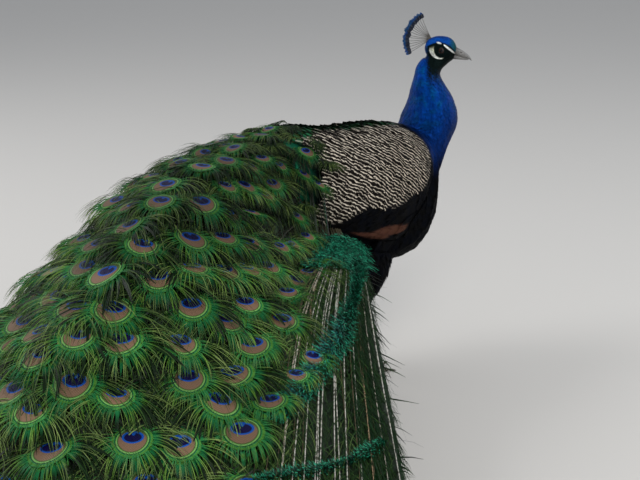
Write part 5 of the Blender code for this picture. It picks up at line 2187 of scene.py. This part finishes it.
@dataclass
class Eyes:
    """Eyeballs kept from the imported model, and lids round them."""

    lid_radius: float = 0.0062
    lid_thick: float = 0.00085
    lid_out: float = 0.0176
    steps: int = 48
    round: int = 10

    def build(self) -> None:
        """Dress the eyeballs and make the lids."""
        lids = Piece("eyelids")
        turn = circle(self.steps)[:, None]
        small = circle(self.round)[None]
        radius = self.lid_radius + self.lid_thick * np.cos(small)
        corner = 1.0 + 0.16 * np.cos(turn) ** 8
        u = radius * np.cos(turn) * 1.04 * corner
        v = radius * np.sin(turn) * 0.93
        for name, side in (("left", 1.0), ("right", -1.0)):
            middle = HEAD.to_bird(np.array((0.0, 0.0, side * HEAD.eye_out))) + ORIGIN
            gaze = HEAD.axes()[2] * side
            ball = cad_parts["eye_" + name]
            ball.data.materials.clear()
            ball.data.materials.append(EyePaint().make("eye_" + name, middle, gaze))
            w = side * (self.lid_out + self.lid_thick * np.sin(small) - 0.0009 * np.cos(turn) ** 2)
            ring = columns(u, v, w)
            faces = grid_quads(self.steps, self.round, True)
            wrap = np.arange(self.round)
            last, after = (self.steps - 1) * self.round, (wrap + 1) % self.round
            closing = columns(last + wrap, last + after, after, wrap)
            lids.add(HEAD.to_bird(ring), np.concatenate((faces, closing)))
        paint = PlainPaint((0.016, 0.016, 0.017), (0.006, 0.007, 0.008), 1200.0, 0.75, 0.5).make("eyelids")
        lids.make(paint, Slot.EYE)


@dataclass
class Claws:
    """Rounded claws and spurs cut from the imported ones."""

    rounds: int = 2

    def build(self) -> None:
        """Make a smooth copy of every claw and spur."""
        paint = PlainPaint((0.070, 0.058, 0.046), (0.018, 0.014, 0.012), 500.0, 0.38, 0.25).make("claw_horn")
        for name in sorted(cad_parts):
            if name.startswith(("claw_", "spur_")):
                at, tris = read_node(name)
                piece = Piece(name + "_smooth")
                piece.add(at - ORIGIN, tris)
                smooth = piece.make(paint, Slot.CLAW, name).modifiers.new("round", "SUBSURF")
                smooth.levels = smooth.render_levels = self.rounds


@dataclass
class Tail(Seeded):
    """Stiff brown feathers under the train."""

    seed: int = 13
    count: int = 18
    spread: float = 39.0
    length: float = 0.300
    half_width: float = 0.024
    below: float = 0.0185
    grid: tuple[int, int] = (26, 9)

    def build(self) -> None:
        """Make the fan."""
        rng = self.rng
        piece = Piece("tail_fan")
        rows, cols = self.grid
        share = np.linspace(0.0, 1.0, rows)[:, None]
        across = np.linspace(-1.0, 1.0, cols)[None]
        half = self.half_width * np.interp(share, (0.0, 0.25, 0.9, 1.0), (0.35, 1.0, 0.85, 0.25))
        for k in range(self.count):
            angle = -self.spread + 2.0 * self.spread * k / (self.count - 1)
            start = float(TRAIN.start(np.array(angle))) + 0.004
            reach = start + (self.length - 0.008 - rng.uniform(0.0, 0.012)) * share
            reach = reach - 0.010 * across**2 * share**6
            degrees = angle + np.degrees(across * half / reach)
            flat = TRAIN.plan(reach, np.clip(degrees, -self.spread - 0.5, self.spread + 0.5))
            level = TRAIN.height(flat) - TRAIN.depth(reach) - self.below
            level = level - 0.0012 * (k % 3) - 0.0022 * across**2 + 0.0011 * across
            points = np.concatenate((flat, level[..., None]), -1)
            tint = columns(share, across, rng.random())
            piece.add(points, grid_quads(rows, cols), None, tint=tint)
            self.add_shaft(piece, flat[:, cols // 2], level[:, cols // 2])
        piece.make(TailPaint().make("tail_fan"), Slot.TAIL, "tail")

    def add_shaft(self, piece: Piece, flat: Array, level: Array) -> None:
        """Add the raised shaft of one tail feather.

        Args:
            piece: Piece to fill.
            flat: Its line on plan.
            level: Height along it.
        """
        turn = circle(5)[None]
        radius = np.linspace(0.0016, 0.0005, len(flat))[:, None]
        ahead = unit(np.gradient(flat, axis=0))
        side = columns(-ahead[:, 1], ahead[:, 0])
        plan = flat[:, None] + side[:, None] * (radius * np.cos(turn))[..., None]
        rise = level[:, None] + radius * np.sin(turn)
        points = np.concatenate((plan, rise[..., None]), -1)
        tint = np.broadcast_to(np.array((0.0, 0.0, 2.0)), points.shape)
        piece.add(points, grid_quads(len(flat), 5, True), None, tint=tint)


@dataclass(frozen=True)
class TailPaint:
    """Brown-grey vanes with fine slanting barbs and pale shafts."""

    vane: Colour = (0.100, 0.078, 0.055)
    dark: Colour = (0.040, 0.030, 0.022)
    quill: Colour = (0.300, 0.250, 0.180)

    def make(self, name: str) -> Material:
        """Build the material.

        Args:
            name: Its name.

        Returns:
            The material.
        """
        paint = Paint(name)
        along, across, own = paint.parts(paint.vector("tint"))
        barb = ((along * 300.0 - abs(across) * 30.0).sine() * 0.5 + 0.5).rise(0.2, 0.9)
        colour = paint.coats(self.vane, (barb * 0.5, self.dark), (own.rise(0.0, 1.0) * 0.3, self.dark),
                             (own.rise(1.4, 1.6), self.quill))
        return paint.dress(colour, 0.7, barb, 0.25, 0.0005)


# ---- stage --------------------------------------------------------------------------------------
@dataclass
class Stage:
    """Pale floor, soft light and the camera."""

    floor_side: float = 60.0
    floor_colour: Colour = (0.62, 0.60, 0.57)
    camera_at: tuple[float, float, float] = (-1.4096, -1.4949, 0.9950)
    lens: float = 73.125
    heading: float = math.radians(48.0)
    pitch: float = math.radians(16.0)
    roll: float = math.radians(0.8)

    def build(self) -> None:
        """Set up floor, lights, world and camera."""
        self.lay_floor()
        self.light("key_light", (-2.2, -3.2, 3.6), 2.8, 150.0, (1.0, 0.98, 0.95))
        self.light("fill_light", (2.8, -3.0, 2.2), 3.0, 55.0, (0.94, 0.97, 1.0))
        self.light("rear_light", (-1.2, 3.2, 3.2), 2.5, 80.0, (1.0, 1.0, 1.0))
        world = bpy.data.worlds.new("soft_room")
        world.use_nodes = True
        ground = world.node_tree.nodes["Background"]
        ground.inputs["Color"].default_value = (0.80, 0.84, 0.90, 1.0)
        ground.inputs["Strength"].default_value = 0.55
        bpy.context.scene.world = world
        bpy.context.scene.view_settings.view_transform = "Standard"
        self.set_camera()

    def lay_floor(self) -> None:
        """Large matt plane just under the feet."""
        side = self.floor_side / 2.0
        mesh = bpy.data.meshes.new("floor")
        mesh.from_pydata([(-side, -side, 0.0), (side, -side, 0.0), (side, side, 0.0), (-side, side, 0.0)], [],
                         [(0, 1, 2, 3)])
        item = bpy.data.objects.new("floor", mesh)
        bpy.context.scene.collection.objects.link(item)
        mesh.materials.append(PlainPaint(self.floor_colour, self.floor_colour, 3.0, 0.9, 0.0).make("floor"))
        item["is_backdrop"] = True

    @staticmethod
    def light(name: str, at: tuple, size: float, power: float, colour: Colour) -> None:
        """Add one square soft light aimed at the bird.

        Args:
            name: Its name.
            at: Where it stands.
            size: Side of the square.
            power: Watts.
            colour: Its colour.
        """
        lamp = bpy.data.lights.new(name, "AREA")
        lamp.energy, lamp.size, lamp.color = power, size, colour
        item = bpy.data.objects.new(name, lamp)
        item.location = at
        item.rotation_euler = (Vector((0.0, 0.0, 0.3)) - Vector(at)).to_track_quat("-Z", "Y").to_euler()
        bpy.context.scene.collection.objects.link(item)

    def set_camera(self) -> None:
        """Place the camera behind the bird's right side, a little above it."""
        right = Vector((math.cos(self.heading), -math.sin(self.heading), 0.0))
        ahead = Vector((math.sin(self.heading), math.cos(self.heading), 0.0))
        rise = Vector((0.0, 0.0, 1.0))
        look = ahead * math.cos(self.pitch) - rise * math.sin(self.pitch)
        up = ahead * math.sin(self.pitch) + rise * math.cos(self.pitch)
        right, up = (right * math.cos(self.roll) - up * math.sin(self.roll),
                     up * math.cos(self.roll) + right * math.sin(self.roll))
        lens = bpy.data.cameras.new("camera")
        lens.sensor_width, lens.lens = 36.0, self.lens
        lens.clip_start, lens.clip_end = 0.05, 100.0
        item = bpy.data.objects.new("camera", lens)
        turn = Matrix((right, up, -look)).transposed().to_4x4()
        item.matrix_world = Matrix.Translation(Vector(self.camera_at)) @ turn
        bpy.context.scene.collection.objects.link(item)
        bpy.context.scene.camera = item


def save_sizes() -> None:
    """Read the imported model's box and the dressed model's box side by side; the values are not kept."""
    for key, corners in (("packed", CAD_BOX), ("dressed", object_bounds())):
        [[float(value) for value in corner] for corner in corners]


def main() -> None:
    """Build every part of the bird and the stage."""
    logging.basicConfig(level=logging.INFO, format="%(name)s: %(message)s")
    Stage().build()
    skin = Skin().build()
    Coat(skin=skin).build()
    Train().build()
    Fur().build()
    Crest().build()
    Bill().build()
    Eyes().build()
    Claws().build()
    Tail().build()
    save_sizes()


if __name__ == "__main__":
    main()
